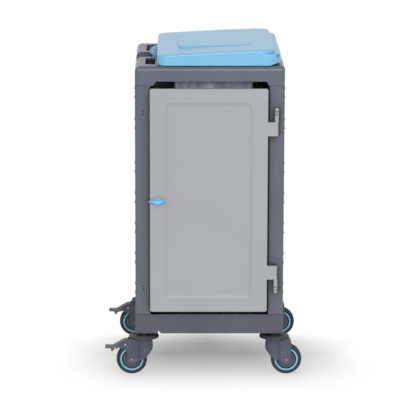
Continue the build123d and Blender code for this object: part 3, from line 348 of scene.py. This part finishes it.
# moulded plastics and rubbers, one look each
plasticLooks = {
    "framePlastic": {  # top frame
        "colour": (0.113, 0.128, 0.165), "worn": (0.23, 0.24, 0.27), "shade": 0.86, "tint": 1.12,
        "rough": 0.29, "roughSwing": 0.08, "gloss": 0.5, "grain": 750.0, "bump": 0.08,
        "edge": 0.0018, "edgeAmount": 0.8, "dust": 0.03, "floorDust": 0.0, "scuff": 0.10,
        "paintedGapShade": 0.9, "gapReach": 0.035,
    },
    "postPlastic": {  # corner posts, with strong painted shade beside the door
        "colour": (0.115, 0.128, 0.161), "worn": (0.23, 0.24, 0.27), "shade": 0.86, "tint": 1.12,
        "rough": 0.29, "roughSwing": 0.08, "gloss": 0.5, "grain": 750.0, "bump": 0.08,
        "edge": 0.0018, "edgeAmount": 0.8, "dust": 0.03, "floorDust": 0.0, "scuff": 0.10,
        "paintedGapShade": 4.2, "gapReach": 0.035,
    },
    "shadedBasePlastic": {  # bottom ring: the frame's plastic made darker, painted shade for the low ring
        "colour": (0.081, 0.091, 0.118), "worn": (0.20, 0.21, 0.23), "shade": 0.86, "tint": 1.10,
        "rough": 0.32, "roughSwing": 0.08, "gloss": 0.5, "grain": 750.0, "bump": 0.08,
        "edge": 0.0018, "edgeAmount": 1.0, "dust": 0.08, "floorDust": 0.0, "scuff": 0.14,
        "paintedGapShade": 3.0, "gapReach": 0.035,
    },
    "trayPlastic": {  # floor tray and bag ring
        "colour": (0.060, 0.064, 0.074), "worn": (0.15, 0.155, 0.165), "shade": 0.85, "tint": 1.15,
        "rough": 0.55, "roughSwing": 0.10, "gloss": 0.5, "grain": 600.0, "bump": 0.12,
        "edge": 0.0015, "edgeAmount": 1.2, "dust": 0.25, "floorDust": 0.0, "scuff": 0.25,
        "paintedGapShade": 0.8, "gapReach": 0.035,
    },
    "panelPlastic": {  # door, side and rear panels, hinge straps
        "colour": (0.402, 0.422, 0.442), "worn": (0.55, 0.56, 0.575), "shade": 0.955, "tint": 1.03,
        "rough": 0.43, "roughSwing": 0.08, "gloss": 0.5, "grain": 900.0, "bump": 0.06,
        "edge": 0.0016, "edgeAmount": 0.8, "dust": 0.08, "floorDust": 0.0, "scuff": 0.08,
        "paintedGapShade": 0.3, "gapReach": 0.035,
    },
    "lidPlastic": {
        "colour": (0.222, 0.552, 0.825), "worn": (0.42, 0.68, 0.86), "shade": 0.96, "tint": 1.03,
        "rough": 0.25, "roughSwing": 0.04, "gloss": 0.5, "grain": 1100.0, "bump": 0.008,
        "edge": 0.0016, "edgeAmount": 0.5, "dust": 0.0, "floorDust": 0.0, "scuff": 0.04,
        "paintedGapShade": 0.9, "gapReach": 0.008,
    },
    "latchPlastic": {
        "colour": (0.220, 0.612, 0.915), "worn": (0.45, 0.70, 0.88), "shade": 0.95, "tint": 1.04,
        "rough": 0.30, "roughSwing": 0.08, "gloss": 0.5, "grain": 1200.0, "bump": 0.03,
        "edge": 0.0012, "edgeAmount": 1.4, "dust": 0.0, "floorDust": 0.0, "scuff": 0.15,
        "paintedGapShade": 0.5, "gapReach": 0.01,
    },
    "bushPlastic": {
        "colour": (0.300, 0.320, 0.340), "worn": (0.45, 0.46, 0.47), "shade": 0.92, "tint": 1.06,
        "rough": 0.45, "roughSwing": 0.08, "gloss": 0.5, "grain": 1000.0, "bump": 0.05,
        "edge": 0.0008, "edgeAmount": 1.0, "dust": 0.05, "floorDust": 0.0, "scuff": 0.1,
        "paintedGapShade": 0.8, "gapReach": 0.02,
    },
    "bumperRubber": {
        "colour": (0.026, 0.029, 0.037), "worn": (0.07, 0.075, 0.085), "shade": 0.80, "tint": 1.2,
        "rough": 0.58, "roughSwing": 0.12, "gloss": 0.5, "grain": 850.0, "bump": 0.12,
        "edge": 0.0020, "edgeAmount": 1.6, "dust": 0.13, "floorDust": 0.12, "scuff": 0.3,
        "paintedGapShade": 0.6, "gapReach": 0.035,
    },
    "casterPlastic": {  # forks
        "colour": (0.059, 0.068, 0.101), "worn": (0.15, 0.16, 0.18), "shade": 0.84, "tint": 1.12,
        "rough": 0.46, "roughSwing": 0.12, "gloss": 0.5, "grain": 800.0, "bump": 0.09,
        "edge": 0.0014, "edgeAmount": 1.6, "dust": 0.16, "floorDust": 0.16, "scuff": 0.2,
        "paintedGapShade": 0.8, "gapReach": 0.035,
    },
    "hubPlastic": {
        "colour": (0.054, 0.067, 0.102), "worn": (0.17, 0.18, 0.20), "shade": 0.84, "tint": 1.12,
        "rough": 0.48, "roughSwing": 0.12, "gloss": 0.4, "grain": 800.0, "bump": 0.09,
        "edge": 0.0010, "edgeAmount": 1.4, "dust": 0.10, "floorDust": 0.10, "scuff": 0.2,
        "paintedGapShade": 0.8, "gapReach": 0.035,
    },
    "ringPlastic": {  # light blue ring of the wheel
        "colour": (0.235, 0.575, 0.775), "worn": (0.55, 0.76, 0.86), "shade": 0.92, "tint": 1.05,
        "rough": 0.36, "roughSwing": 0.10, "gloss": 0.5, "grain": 1000.0, "bump": 0.05,
        "edge": 0.0008, "edgeAmount": 1.2, "dust": 0.05, "floorDust": 0.12, "scuff": 0.2,
        "paintedGapShade": 0.4, "gapReach": 0.015,
    },
    "tyreRubber": {
        "colour": (0.020, 0.024, 0.038), "worn": (0.058, 0.061, 0.070), "shade": 0.80, "tint": 1.25,
        "rough": 0.55, "roughSwing": 0.12, "gloss": 0.38, "grain": 700.0, "bump": 0.12,
        "edge": 0.0025, "edgeAmount": 0.9, "dust": 0.02, "floorDust": 0.03, "scuff": 0.15,
        "paintedGapShade": 0.5, "gapReach": 0.03,
    },
    "pedalPlastic": {
        "colour": (0.120, 0.121, 0.133), "worn": (0.27, 0.27, 0.275), "shade": 0.84, "tint": 1.12,
        "rough": 0.50, "roughSwing": 0.12, "gloss": 0.5, "grain": 750.0, "bump": 0.12,
        "edge": 0.0016, "edgeAmount": 2.4, "dust": 0.22, "floorDust": 0.10, "scuff": 0.35,
        "paintedGapShade": 0.6, "gapReach": 0.03,
    },
}
plasticBase = {  # the same in every plastic and rubber
    "ior": 1.49,
    "cloudScale": 5.0,
    "edgeBreakup": 110.0,
    "scuffDensity": 0.68,
    "dustColour": (0.50, 0.49, 0.47),
    "dustDulls": 0.4,
    "paintedShadeShare": 0.12,  # of the colour, left as painted shade in deep gaps
    "grainDepth": 0.0006,
}
noiseBand = (0.3, 0.7)  # where most of a noise lies


def makePlastic(name, look):
    material, tree, shader = startMaterial(name)
    shader["IOR"].default_value = plasticBase["ior"]
    shader["Specular IOR Level"].default_value = look["gloss"]
    skin = placeGroup(tree, mouldSkin, {
        "Grain Scale": look["grain"], "Cloud Scale": plasticBase["cloudScale"],
    })
    wear = placeGroup(tree, edgeWear, {
        "Radius": look["edge"], "Breakup": plasticBase["edgeBreakup"], "Amount": look["edgeAmount"],
    })
    dust = placeGroup(tree, settledDust, {"Upward": look["dust"], "Floor Share": look["floorDust"]})
    scuff = placeGroup(tree, hairScuffs, {"Density": plasticBase["scuffDensity"]})
    paintedGapShade = placeGroup(tree, gapShade, {"Reach": look["gapReach"]})
    base = look["colour"]
    dark = tuple(part * look["shade"] for part in base)
    light = tuple(min(part * look["tint"], 1.0) for part in base)
    paintedShadeColour = tuple(part * plasticBase["paintedShadeShare"] for part in base)
    tone = addMix(tree, addRange(tree, skin["Cloud"], *noiseBand, 0.0, 1.0), dark, light)
    rubbed = addMix(tree, addMath(tree, "MULTIPLY", scuff["Scuff"], look["scuff"]), tone, look["worn"])
    edged = addMix(tree, wear["Edge"], rubbed, look["worn"])
    dusty = addMix(tree, dust["Dust"], edged, plasticBase["dustColour"])
    # painted shade: the colour darkens where occlusion is high, in gaps and inner corners
    paintedShadeMix = addMath(tree, "MULTIPLY", paintedGapShade["Depth"], look["paintedGapShade"], clamp=True)
    tree.links.new(addMix(tree, paintedShadeMix, dusty, paintedShadeColour), shader["Base Color"])
    low = look["rough"] - look["roughSwing"] / 2
    high = look["rough"] + look["roughSwing"] / 2
    rough = addRange(tree, skin["Polish"], *noiseBand, low, high)
    dull = addMath(tree, "MULTIPLY", dust["Dust"], plasticBase["dustDulls"])
    tree.links.new(addMath(tree, "ADD", rough, dull, clamp=True), shader["Roughness"])
    bump = addBump(tree, skin["Grain"], look["bump"], plasticBase["grainDepth"], wear["Normal"])
    tree.links.new(bump, shader["Normal"])
    return material


# steel of pins, screws, nuts and stems
steelLook = {"colour": (0.62, 0.63, 0.64), "dull": (0.42, 0.43, 0.45), "stain": (0.30, 0.28, 0.26)}
blackenedLook = {"colour": (0.30, 0.32, 0.36), "dull": (0.16, 0.17, 0.20), "stain": (0.08, 0.085, 0.10)}
steelBase = {
    "grain": 1600.0, "bump": 0.05, "grainDepth": 0.0003,
    "cloudScale": 60.0, "cloudBand": (0.35, 0.65),
    "edge": 0.0006, "edgeBreakup": 200.0, "edgeAmount": 1.5,
    "scuffLength": 40.0, "scuffWidth": 1500.0, "scuffDensity": 0.6, "scuff": 0.35,
    "roughBand": (0.26, 0.44),
}


def makeSteel(name, look):
    material, tree, shader = startMaterial(name)
    shader["Metallic"].default_value = 1.0
    skin = placeGroup(tree, mouldSkin, {
        "Grain Scale": steelBase["grain"], "Cloud Scale": steelBase["cloudScale"],
    })
    wear = placeGroup(tree, edgeWear, {
        "Radius": steelBase["edge"], "Breakup": steelBase["edgeBreakup"], "Amount": steelBase["edgeAmount"],
    })
    scuff = placeGroup(tree, hairScuffs, {
        "Length Scale": steelBase["scuffLength"], "Width Scale": steelBase["scuffWidth"],
        "Density": steelBase["scuffDensity"],
    })
    cloud = addRange(tree, skin["Cloud"], *steelBase["cloudBand"], 0.0, 1.0)
    tone = addMix(tree, cloud, look["dull"], look["colour"])
    marked = addMix(tree, addMath(tree, "MULTIPLY", scuff["Scuff"], steelBase["scuff"]), tone, look["stain"])
    tree.links.new(addMix(tree, wear["Edge"], marked, look["colour"]), shader["Base Color"])
    tree.links.new(addRange(tree, skin["Polish"], *noiseBand, *steelBase["roughBand"]), shader["Roughness"])
    bump = addBump(tree, skin["Grain"], steelBase["bump"], steelBase["grainDepth"], wear["Normal"])
    tree.links.new(bump, shader["Normal"])
    return material


# thin grey film of the bag: glossy, creased, paler along the fold ridges as a painted sheen
filmLook = {
    "colour": (0.350, 0.378, 0.505), "pale": (0.540, 0.565, 0.690), "ior": 1.5,
    "pleatScale": 26.0, "pleatStretch": (1.0, 1.0, 0.12),  # folds run up and down
    "pleatDetail": 2.0, "pleatTwist": 0.6, "pleatBand": (0.48, 0.66),
    "grain": 260.0, "cloudScale": 12.0, "cloudShare": 0.35, "roughBand": (0.24, 0.42),
    "bump": 0.12, "grainDepth": 0.001, "crease": 0.60, "creaseDepth": 0.006,
}


def makeFilm(name, look):
    material, tree, shader = startMaterial(name)
    shader["IOR"].default_value = look["ior"]
    stretch = addNode(tree, "ShaderNodeMapping")
    stretch.inputs["Scale"].default_value = look["pleatStretch"]
    tree.links.new(objectPlace(tree), stretch.inputs["Vector"])
    folds = addNoise(tree, stretch.outputs[0], look["pleatScale"], look["pleatDetail"])
    folds.node.inputs["Distortion"].default_value = look["pleatTwist"]
    skin = placeGroup(tree, mouldSkin, {"Grain Scale": look["grain"], "Cloud Scale": look["cloudScale"]})
    # painted sheen: the fold ridges are made paler
    foldSheenMask = addRange(tree, folds, *look["pleatBand"], 0.0, 1.0)
    tone = addMix(tree, foldSheenMask, look["colour"], look["pale"])
    cloudy = addMath(tree, "MULTIPLY", skin["Cloud"], look["cloudShare"])
    tree.links.new(addMix(tree, cloudy, tone, look["colour"]), shader["Base Color"])
    tree.links.new(addRange(tree, skin["Polish"], *noiseBand, *look["roughBand"]), shader["Roughness"])
    fine = addBump(tree, skin["Grain"], look["bump"], look["grainDepth"])
    tree.links.new(addBump(tree, folds, look["crease"], look["creaseDepth"], fine), shader["Normal"])
    return material


finishes = {name: makePlastic(name, look) for name, look in plasticLooks.items()}
finishes["zincSteel"] = makeSteel("zincSteel", steelLook)
finishes["blackenedSteel"] = makeSteel("blackenedSteel", blackenedLook)
finishes["bagFilm"] = makeFilm("bagFilm", filmLook)
slotFinish = {  # finish of each material slot of the frame
    "frame_plastic": "framePlastic",
    "base_plastic": "shadedBasePlastic",
    "tray_plastic": "trayPlastic",
    "panel_plastic": "panelPlastic",
    "lid_plastic": "lidPlastic",
    "latch_plastic": "latchPlastic",
    "bush_plastic": "bushPlastic",
    "steel": "zincSteel",
    "bag_film": "bagFilm",
    "bumper_rubber": "bumperRubber",
    "caster_plastic": "casterPlastic",
    "hub_plastic": "hubPlastic",
    "ring_plastic": "ringPlastic",
    "tyre": "tyreRubber",
    "pedal_plastic": "pedalPlastic",
}
for part in frame["record"]["subparts"]:
    for place in nodes[part["node"]].material_slots:
        place.material = finishes[slotFinish[part["material_slot"]]]
for corner in corners:  # axle ends are dull, posts get stronger painted shade beside the door
    nodes[f"{corner}_axle"].material_slots[0].material = finishes["blackenedSteel"]
    nodes[f"{corner}_post"].material_slots[0].material = finishes["postPlastic"]


# hanging bag: loop round the mouth, drawn down ring by ring, then creased
bag = {
    "centre": (0.0175, 0.0),
    "size": (0.3384, 0.4634),  # at the mouth
    "corner": 0.0217,
    "cornerSteps": 7,
    "longSide": 0.1,  # edges past this length get the spare points
    "sideCuts": 60,
    "edge": 1.0197,  # turned-out edge on the ring
    "edgeReach": 0.0075,
    "edgeShares": (0.0, 0.3, 0.65, 1.0),
    "throat": 1.0085,
    "throatReach": 0.001,
    "profile": (  # height, then inset from the mouth across and in depth
        (1.0085, 0.000, 0.000), (0.995, 0.011, 0.002), (0.975, 0.026, 0.006), (0.957, 0.031, 0.010),
        (0.930, 0.031, 0.010), (0.900, 0.026, 0.008), (0.860, 0.018, 0.006), (0.800, 0.010, 0.005),
        (0.600, 0.004, 0.004), (0.400, 0.006, 0.006), (0.300, 0.010, 0.010), (0.250, 0.015, 0.015),
        (0.222, 0.026, 0.026), (0.210, 0.040, 0.040), (0.2058, 0.058, 0.058),
    ),
    "ringStep": 0.010,
    "bottomRings": (0.250, 0.240, 0.230, 0.222, 0.215, 0.210, 0.2075, 0.2058),
    "floorShares": (1.0, 0.88, 0.76, 0.62, 0.46, 0.28, 0.10),
    "film": 0.0006,
    "bottom": 0.208,
    "fadeTop": 0.035,
    "fadeBottom": 0.05,
    "neck": 0.945,
    "neckLean": -0.007,  # towards the latch
    "neckReach": 0.10,
    "neckShare": 0.35,
    "relax": 2,
    "relaxFactor": 0.5,
    "creases": (
        {
            "name": "bulges", "kind": "CLOUDS", "size": 0.20, "stretch": (1, 1, 1.6),
            "group": "body", "depth": 0.018, "middle": 0.75,
        },
        {
            "name": "folds", "kind": "CLOUDS", "size": 0.034, "stretch": (1, 1, 8),
            "group": "neck", "depth": 0.019, "middle": 0.65,
        },
        {
            "name": "crumples", "kind": "VORONOI", "size": 0.11, "stretch": (1, 1, 1.5),
            "group": "body", "depth": 0.006, "middle": 0.9,
        },
    ),
}


def insetAt(height):
    pairs = bag["profile"]
    for upper, lower in zip(pairs, pairs[1:]):
        if lower[0] <= height <= upper[0]:
            share = (upper[0] - height) / (upper[0] - lower[0])
            return [first + (second - first) * share for first, second in zip(upper[1:], lower[1:])]
    return pairs[-1][1:]


def hangAt(height):
    return min(max((bag["throat"] - height) / bag["fadeTop"], 0.0), 1.0)


def standAt(height):
    return min(max((height - bag["bottom"]) / bag["fadeBottom"], 0.0), 1.0)


def gatherAt(height):
    return math.exp(-((height - bag["neck"]) / bag["neckReach"]) ** 2)


def modelBag():
    centre = Vector((*bag["centre"], bag["throat"]))
    dropSelection()
    bpy.ops.mesh.primitive_plane_add(size=1.0, location=centre)
    piece = bpy.context.object
    piece.name = "hanging_bag"
    bpy.ops.object.mode_set(mode="EDIT")
    bpy.ops.mesh.select_all(action="SELECT")
    bpy.ops.transform.resize(value=(*bag["size"], 1.0), center_override=centre)
    bpy.ops.mesh.bevel(affect="VERTICES", offset=bag["corner"], segments=bag["cornerSteps"])
    bpy.ops.mesh.delete(type="ONLY_FACE")
    bpy.ops.object.mode_set(mode="OBJECT")
    pickEdges(piece, lambda ends: (ends[0] - ends[1]).length > bag["longSide"])
    bpy.ops.mesh.subdivide(number_cuts=bag["sideCuts"])
    bpy.ops.mesh.select_all(action="SELECT")
    heights = [bag["throat"]]
    while heights[-1] - bag["ringStep"] > bag["bottomRings"][0]:
        heights.append(heights[-1] - bag["ringStep"])
    heights += bag["bottomRings"]
    width, depth = bag["size"]
    wasWidth, wasDepth, wasLean = width, depth, 0.0
    for above, height in zip(heights, heights[1:]):
        across, deep = insetAt(height)
        nowWidth = width - 2 * across
        nowDepth = depth - 2 * deep
        nowLean = bag["neckLean"] * hangAt(height) * gatherAt(height)
        step = (nowLean - wasLean, 0, height - above)
        bpy.ops.mesh.extrude_edges_move(TRANSFORM_OT_translate={"value": step})
        middle = Vector((*bag["centre"], height)) + Vector((nowLean, 0, 0))
        grow = (nowWidth / wasWidth, nowDepth / wasDepth, 1.0)
        bpy.ops.transform.resize(value=grow, center_override=middle)
        wasWidth, wasDepth, wasLean = nowWidth, nowDepth, nowLean
    shares = bag["floorShares"]
    for was, share in zip(shares, shares[1:]):  # flat bottom, drawn in to the middle
        bpy.ops.mesh.extrude_edges_move()
        bpy.ops.transform.resize(value=(share / was, share / was, 1.0), center_override=middle)
    bpy.ops.mesh.edge_face_add()
    faceOutwards(piece)
    return piece


def creaseBag(piece):
    # soft bulges, folds that gather at the neck, and small crumples
    groups = {name: piece.vertex_groups.new(name=name) for name in ("body", "neck")}
    for v in piece.data.vertices:
        free = hangAt(v.co.z) * standAt(v.co.z)
        gather = bag["neckShare"] + (1 - bag["neckShare"]) * gatherAt(v.co.z)
        groups["body"].add([v.index], free, "REPLACE")
        groups["neck"].add([v.index], free * gather, "REPLACE")
    for layer in bag["creases"]:
        dropSelection()
        bpy.ops.object.empty_add(location=(*bag["centre"], 0.0))
        guide = bpy.context.object
        guide.scale = layer["stretch"]
        pattern = bpy.data.textures.new(layer["name"], layer["kind"])
        pattern.noise_scale = layer["size"]
        if layer["kind"] == "VORONOI":
            pattern.weight_1, pattern.weight_2 = -1.0, 1.0  # lines where two cells meet
        press = piece.modifiers.new(layer["name"], "DISPLACE")
        press.texture = pattern
        press.texture_coords = "OBJECT"
        press.texture_coords_object = guide
        press.vertex_group = layer["group"]
        press.strength = layer["depth"]
        press.mid_level = layer["middle"]
        applyModifier(piece, press)
        bpy.data.objects.remove(guide)
    relax = piece.modifiers.new("relax", "SMOOTH")
    relax.factor = bag["relaxFactor"]
    relax.iterations = bag["relax"]
    relax.vertex_group = "body"
    applyModifier(piece, relax)


def turnBagEdge(piece):
    # top loop goes up through the ring and out over it
    pickEdges(piece, lambda ends: all(end.z > bag["throat"] - bag["throatReach"] for end in ends))
    centre = Vector((*bag["centre"], bag["edge"]))
    width, depth = bag["size"]
    rise = (0, 0, bag["edge"] - bag["throat"])
    bpy.ops.mesh.extrude_edges_move(TRANSFORM_OT_translate={"value": rise})
    reaches = [2 * bag["edgeReach"] * share for share in bag["edgeShares"]]
    for was, out in zip(reaches, reaches[1:]):
        bpy.ops.mesh.extrude_edges_move()
        grow = ((width + out) / (width + was), (depth + out) / (depth + was), 1.0)
        bpy.ops.transform.resize(value=grow, center_override=centre)
    faceOutwards(piece)


hangingBag = modelBag()
settle(hangingBag)
creaseBag(hangingBag)
turnBagEdge(hangingBag)
wall = hangingBag.modifiers.new("film", "SOLIDIFY")
wall.thickness = bag["film"]
wall.offset = -1.0
applyModifier(hangingBag, wall)
bpy.ops.object.shade_smooth()
hangingBag.data.materials.append(finishes["bagFilm"])
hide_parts("waste_bag")
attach(hangingBag, "frame")
print("bag hung,", len(hangingBag.data.polygons), "faces")


# strap screws: domed heads with a round socket
screws = {
    "x": 0.2145,
    "face": -0.2863,
    "headRadius": 0.0036,
    "headDepth": 0.0024,
    "socketRadius": 0.0017,
    "socketDepth": 0.0013,
    "shankRadius": 0.0020,
    "shankLength": 0.021,
    "spacing": 0.0105,
    "dome": 0.0011,
    "domeSteps": 4,
    "rimShare": 0.99,  # the rim that is rounded lies past this radius, within this depth
    "rimDepth": 0.00001,
    "sides": 36,
    "smooth": 35.0,
}
low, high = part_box("hinge_strap_screws")
screwHeights = [
    high.z - screws["headRadius"],
    high.z - screws["headRadius"] - screws["spacing"],
    low.z + screws["headRadius"] + screws["spacing"],
    low.z + screws["headRadius"],
]


def modelScrew(height):
    middle = Vector((screws["x"], screws["face"] + screws["headDepth"] / 2, height))
    piece = addBar(screws, screws["headRadius"], screws["headDepth"], middle)
    pickFaces(piece, lambda side: side.normal.y < -facing)
    bpy.ops.mesh.inset(thickness=screws["headRadius"] - screws["socketRadius"])
    bpy.ops.mesh.extrude_region_move(TRANSFORM_OT_translate={"value": (0, screws["socketDepth"], 0)})
    pickFaces(piece, lambda side: side.normal.y > facing)
    bpy.ops.mesh.inset(thickness=screws["headRadius"] - screws["shankRadius"])
    bpy.ops.mesh.extrude_region_move(TRANSFORM_OT_translate={"value": (0, screws["shankLength"], 0)})
    rim = screws["rimShare"] * screws["headRadius"]
    front = screws["face"] + screws["rimDepth"]
    pickEdges(piece, lambda ends: all(
        math.hypot(end.x - middle.x, end.z - middle.z) > rim and end.y < front for end in ends
    ))
    bpy.ops.mesh.bevel(offset=screws["dome"], segments=screws["domeSteps"])
    finishPiece(piece, screws, "blackenedSteel")
    return piece


firstScrew = modelScrew(screwHeights[0])
firstScrew.name = "strap_screw_1"
strapScrews = [firstScrew]
for number, height in enumerate(screwHeights[1:], 2):
    drop = (0, 0, height - screwHeights[0])
    strapScrews.append(copyPiece(firstScrew, f"strap_screw_{number}", drop))
for piece in strapScrews:
    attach(piece, "frame")
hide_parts("hinge_strap_screws")
print("strap screws modelled")


# rivet in the side of each brake pedal
rivet = {
    "x": -0.3072,
    "z": 0.0887,
    "casterY": 0.243,
    "pedalHalf": 0.0150,
    "radius": 0.0021,
    "sunk": 0.0020,
    "flange": 0.0004,
    "dome": 0.0007,
    "headSteps": (0.3, 0.4, 0.5),  # each step draws the head in and forward
    "sides": 28,
    "smooth": 50.0,
}


def modelRivet():
    face = -rivet["casterY"] - rivet["pedalHalf"]
    place = (rivet["x"], face + (rivet["sunk"] - rivet["flange"]) / 2, rivet["z"])
    piece = addBar(rivet, rivet["radius"], rivet["sunk"] + rivet["flange"], place)
    for share in rivet["headSteps"]:
        pickFaces(piece, lambda side: side.normal.y < -facing)
        bpy.ops.mesh.inset(thickness=share * rivet["radius"] / 2)
        bpy.ops.transform.translate(value=(0, -rivet["dome"] / len(rivet["headSteps"]), 0))
    finishPiece(piece, rivet, "zincSteel")
    return piece


frontRivet = modelRivet()
frontRivet.name = "front_left_pedal_rivet"
rearRivet = copyPiece(frontRivet, "rear_left_pedal_rivet", (0, 2 * rivet["casterY"], 0))
for piece, body in ((frontRivet, "front_left_brake"), (rearRivet, "rear_left_brake")):
    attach(piece, body)
print("pedal rivets modelled")


# dished plug in the hole at each end of the lid's lip
lipPlug = {
    "x": 0.217,
    "z": 1.0513,
    "back": 0.0264,  # from the lid's end to the plug's face, past the rounded corner
    "radius": 0.0049,
    "depth": 0.004,
    "rim": 0.0012,
    "dish": 0.0015,
    "sides": 32,
    "smooth": 30.0,
}
lidLow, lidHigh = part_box("lid")


def modelLipPlug():
    place = (lipPlug["x"], lidLow.y + lipPlug["back"] + lipPlug["depth"] / 2, lipPlug["z"])
    piece = addBar(lipPlug, lipPlug["radius"], lipPlug["depth"], place)
    pickFaces(piece, lambda side: side.normal.y < -facing)
    bpy.ops.mesh.inset(thickness=lipPlug["rim"])
    bpy.ops.transform.translate(value=(0, lipPlug["dish"], 0))
    finishPiece(piece, lipPlug, "lidPlastic")
    return piece


frontPlug = modelLipPlug()
frontPlug.name = "front_lip_plug"
rearPlug = copyPiece(frontPlug, "rear_lip_plug", (0, lidLow.y + lidHigh.y, 0), (1, -1, 1))  # mirrored
faceOutwards(rearPlug)
for piece in (frontPlug, rearPlug):
    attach(piece, "lid")
print("lip plugs modelled")


# floor, world, lamps and camera
studio = {
    "floorColour": (0.86, 0.86, 0.86),
    "floorSize": 60.0,
    "floorRough": 0.9,
    "shadowSamples": 24,
    "shadowReach": 0.3,
    "shadowFloor": 0.30,
    "shadowCurve": 3.2,
    "shadowFade": (-0.52, 0.13),  # painted shade thins towards the viewer, as under a light from the front
    "shadowLean": (-0.22, 0.0, 1.0),
    "shadowPeak": 1.22,
    "rearStart": -0.01,  # from here the shade thins towards the rear, most at the sides
    "rearThin": 2.0,
    "sideThin": 7.2,
    "ambient": 0.58,
    "mirrored": 0.85,
    "lampPlace": (0.0, -2.0, 3.0),
    "key": {"strength": 1.20, "angle": 30.0, "turn": (73.0, 0.0, 5.0)},
    "fill": {"strength": 0.12, "angle": 90.0, "turn": (60.0, 0.0, -50.0)},
}
white = (1.0, 1.0, 1.0, 1.0)


def seenDirectly(tree):
    # camera, mirror and glass rays see the pale backdrop itself
    rays = addNode(tree, "ShaderNodeLightPath").outputs
    either = addMath(tree, "MAXIMUM", rays["Is Camera Ray"], rays["Is Glossy Ray"])
    return addMath(tree, "MAXIMUM", either, rays["Is Transmission Ray"])


def floorShade(tree):
    # soft painted shade round the cart on white paper, drawn from occlusion and place, not cast by the lamps
    near = addNode(tree, "ShaderNodeAmbientOcclusion", samples=studio["shadowSamples"])
    near.inputs["Distance"].default_value = studio["shadowReach"]
    lean = addNode(tree, "ShaderNodeCombineXYZ")
    for axis, part in zip("XYZ", studio["shadowLean"]):
        lean.inputs[axis].default_value = part
    tree.links.new(lean.outputs[0], near.inputs["Normal"])
    curve = addMath(tree, "POWER", near.outputs["AO"], studio["shadowCurve"])
    lack = addRange(tree, curve, 0.0, 1.0, 1.0 - studio["shadowFloor"], 0.0)
    spot = splitParts(tree, objectPlace(tree))
    back = addRange(tree, spot["Y"], *studio["shadowFade"], 0.0, 1.0)
    behind = addMath(tree, "MAXIMUM", addMath(tree, "SUBTRACT", spot["Y"], studio["rearStart"]), 0.0)
    aside = addMath(tree, "MULTIPLY", addMath(tree, "ABSOLUTE", spot["X"], 0.0), studio["sideThin"])
    thin = addMath(tree, "MULTIPLY", behind, addMath(tree, "ADD", aside, studio["rearThin"]))
    left = addMath(tree, "MAXIMUM", addMath(tree, "SUBTRACT", studio["shadowPeak"], thin), 0.0)
    depth = addMath(tree, "MULTIPLY", addMath(tree, "MULTIPLY", lack, back), left)
    return addMath(tree, "SUBTRACT", 1.0, depth, clamp=True)


def makePaper(name):
    material, tree, shader = startMaterial(name)
    shader["Roughness"].default_value = studio["floorRough"]
    shader["Specular IOR Level"].default_value = 0.0
    shader["Emission Color"].default_value = white
    shown = seenDirectly(tree)
    tree.links.new(addMix(tree, shown, studio["floorColour"], (0.0, 0.0, 0.0)), shader["Base Color"])
    # painted shadow: the floor's white glow is darkened round the cart
    tree.links.new(addMath(tree, "MULTIPLY", floorShade(tree), shown), shader["Emission Strength"])
    return material


dropSelection()
bpy.ops.mesh.primitive_plane_add(size=studio["floorSize"], location=(0, 0, 0))
floor = bpy.context.object
floor.name = "studio_floor"
floor.data.materials.append(makePaper("paleFloor"))

world = bpy.data.worlds.new("studioWorld")
bpy.context.scene.world = world
world.use_nodes = True
tree = world.node_tree
sky = tree.nodes["Background"].inputs
sky["Color"].default_value = white
rays = addNode(tree, "ShaderNodeLightPath").outputs
mirror = addRange(tree, rays["Is Glossy Ray"], 0.0, 1.0, studio["ambient"], studio["mirrored"])
plain = addMath(tree, "MAXIMUM", rays["Is Camera Ray"], rays["Is Transmission Ray"])
tree.links.new(addMath(tree, "MAXIMUM", mirror, plain), sky["Strength"])


def addSun(name, look):
    dropSelection()
    turn = [math.radians(angle) for angle in look["turn"]]
    bpy.ops.object.light_add(type="SUN", location=studio["lampPlace"], rotation=turn)
    lamp = bpy.context.object
    lamp.name = name
    lamp.data.energy = look["strength"]
    lamp.data.angle = math.radians(look["angle"])


addSun("key_lamp", studio["key"])
addSun("fill_lamp", studio["fill"])

view = {
    "place": (-0.114, -7.696, 2.119),
    "pitch": 78.33,
    "lens": 211.5,
    "sensor": 36.0,
    "shift": 0.0645,
    "farClip": 100.0,
}
dropSelection()
bpy.ops.object.camera_add(location=view["place"], rotation=(math.radians(view["pitch"]), 0, 0))
camera = bpy.context.object
camera.name = "photo_camera"
camera.data.sensor_width = view["sensor"]
camera.data.lens = view["lens"]
camera.data.shift_x = view["shift"]
camera.data.clip_end = view["farClip"]
bpy.context.scene.camera = camera
bpy.context.scene.view_settings.view_transform = "Standard"
print("studio ready")
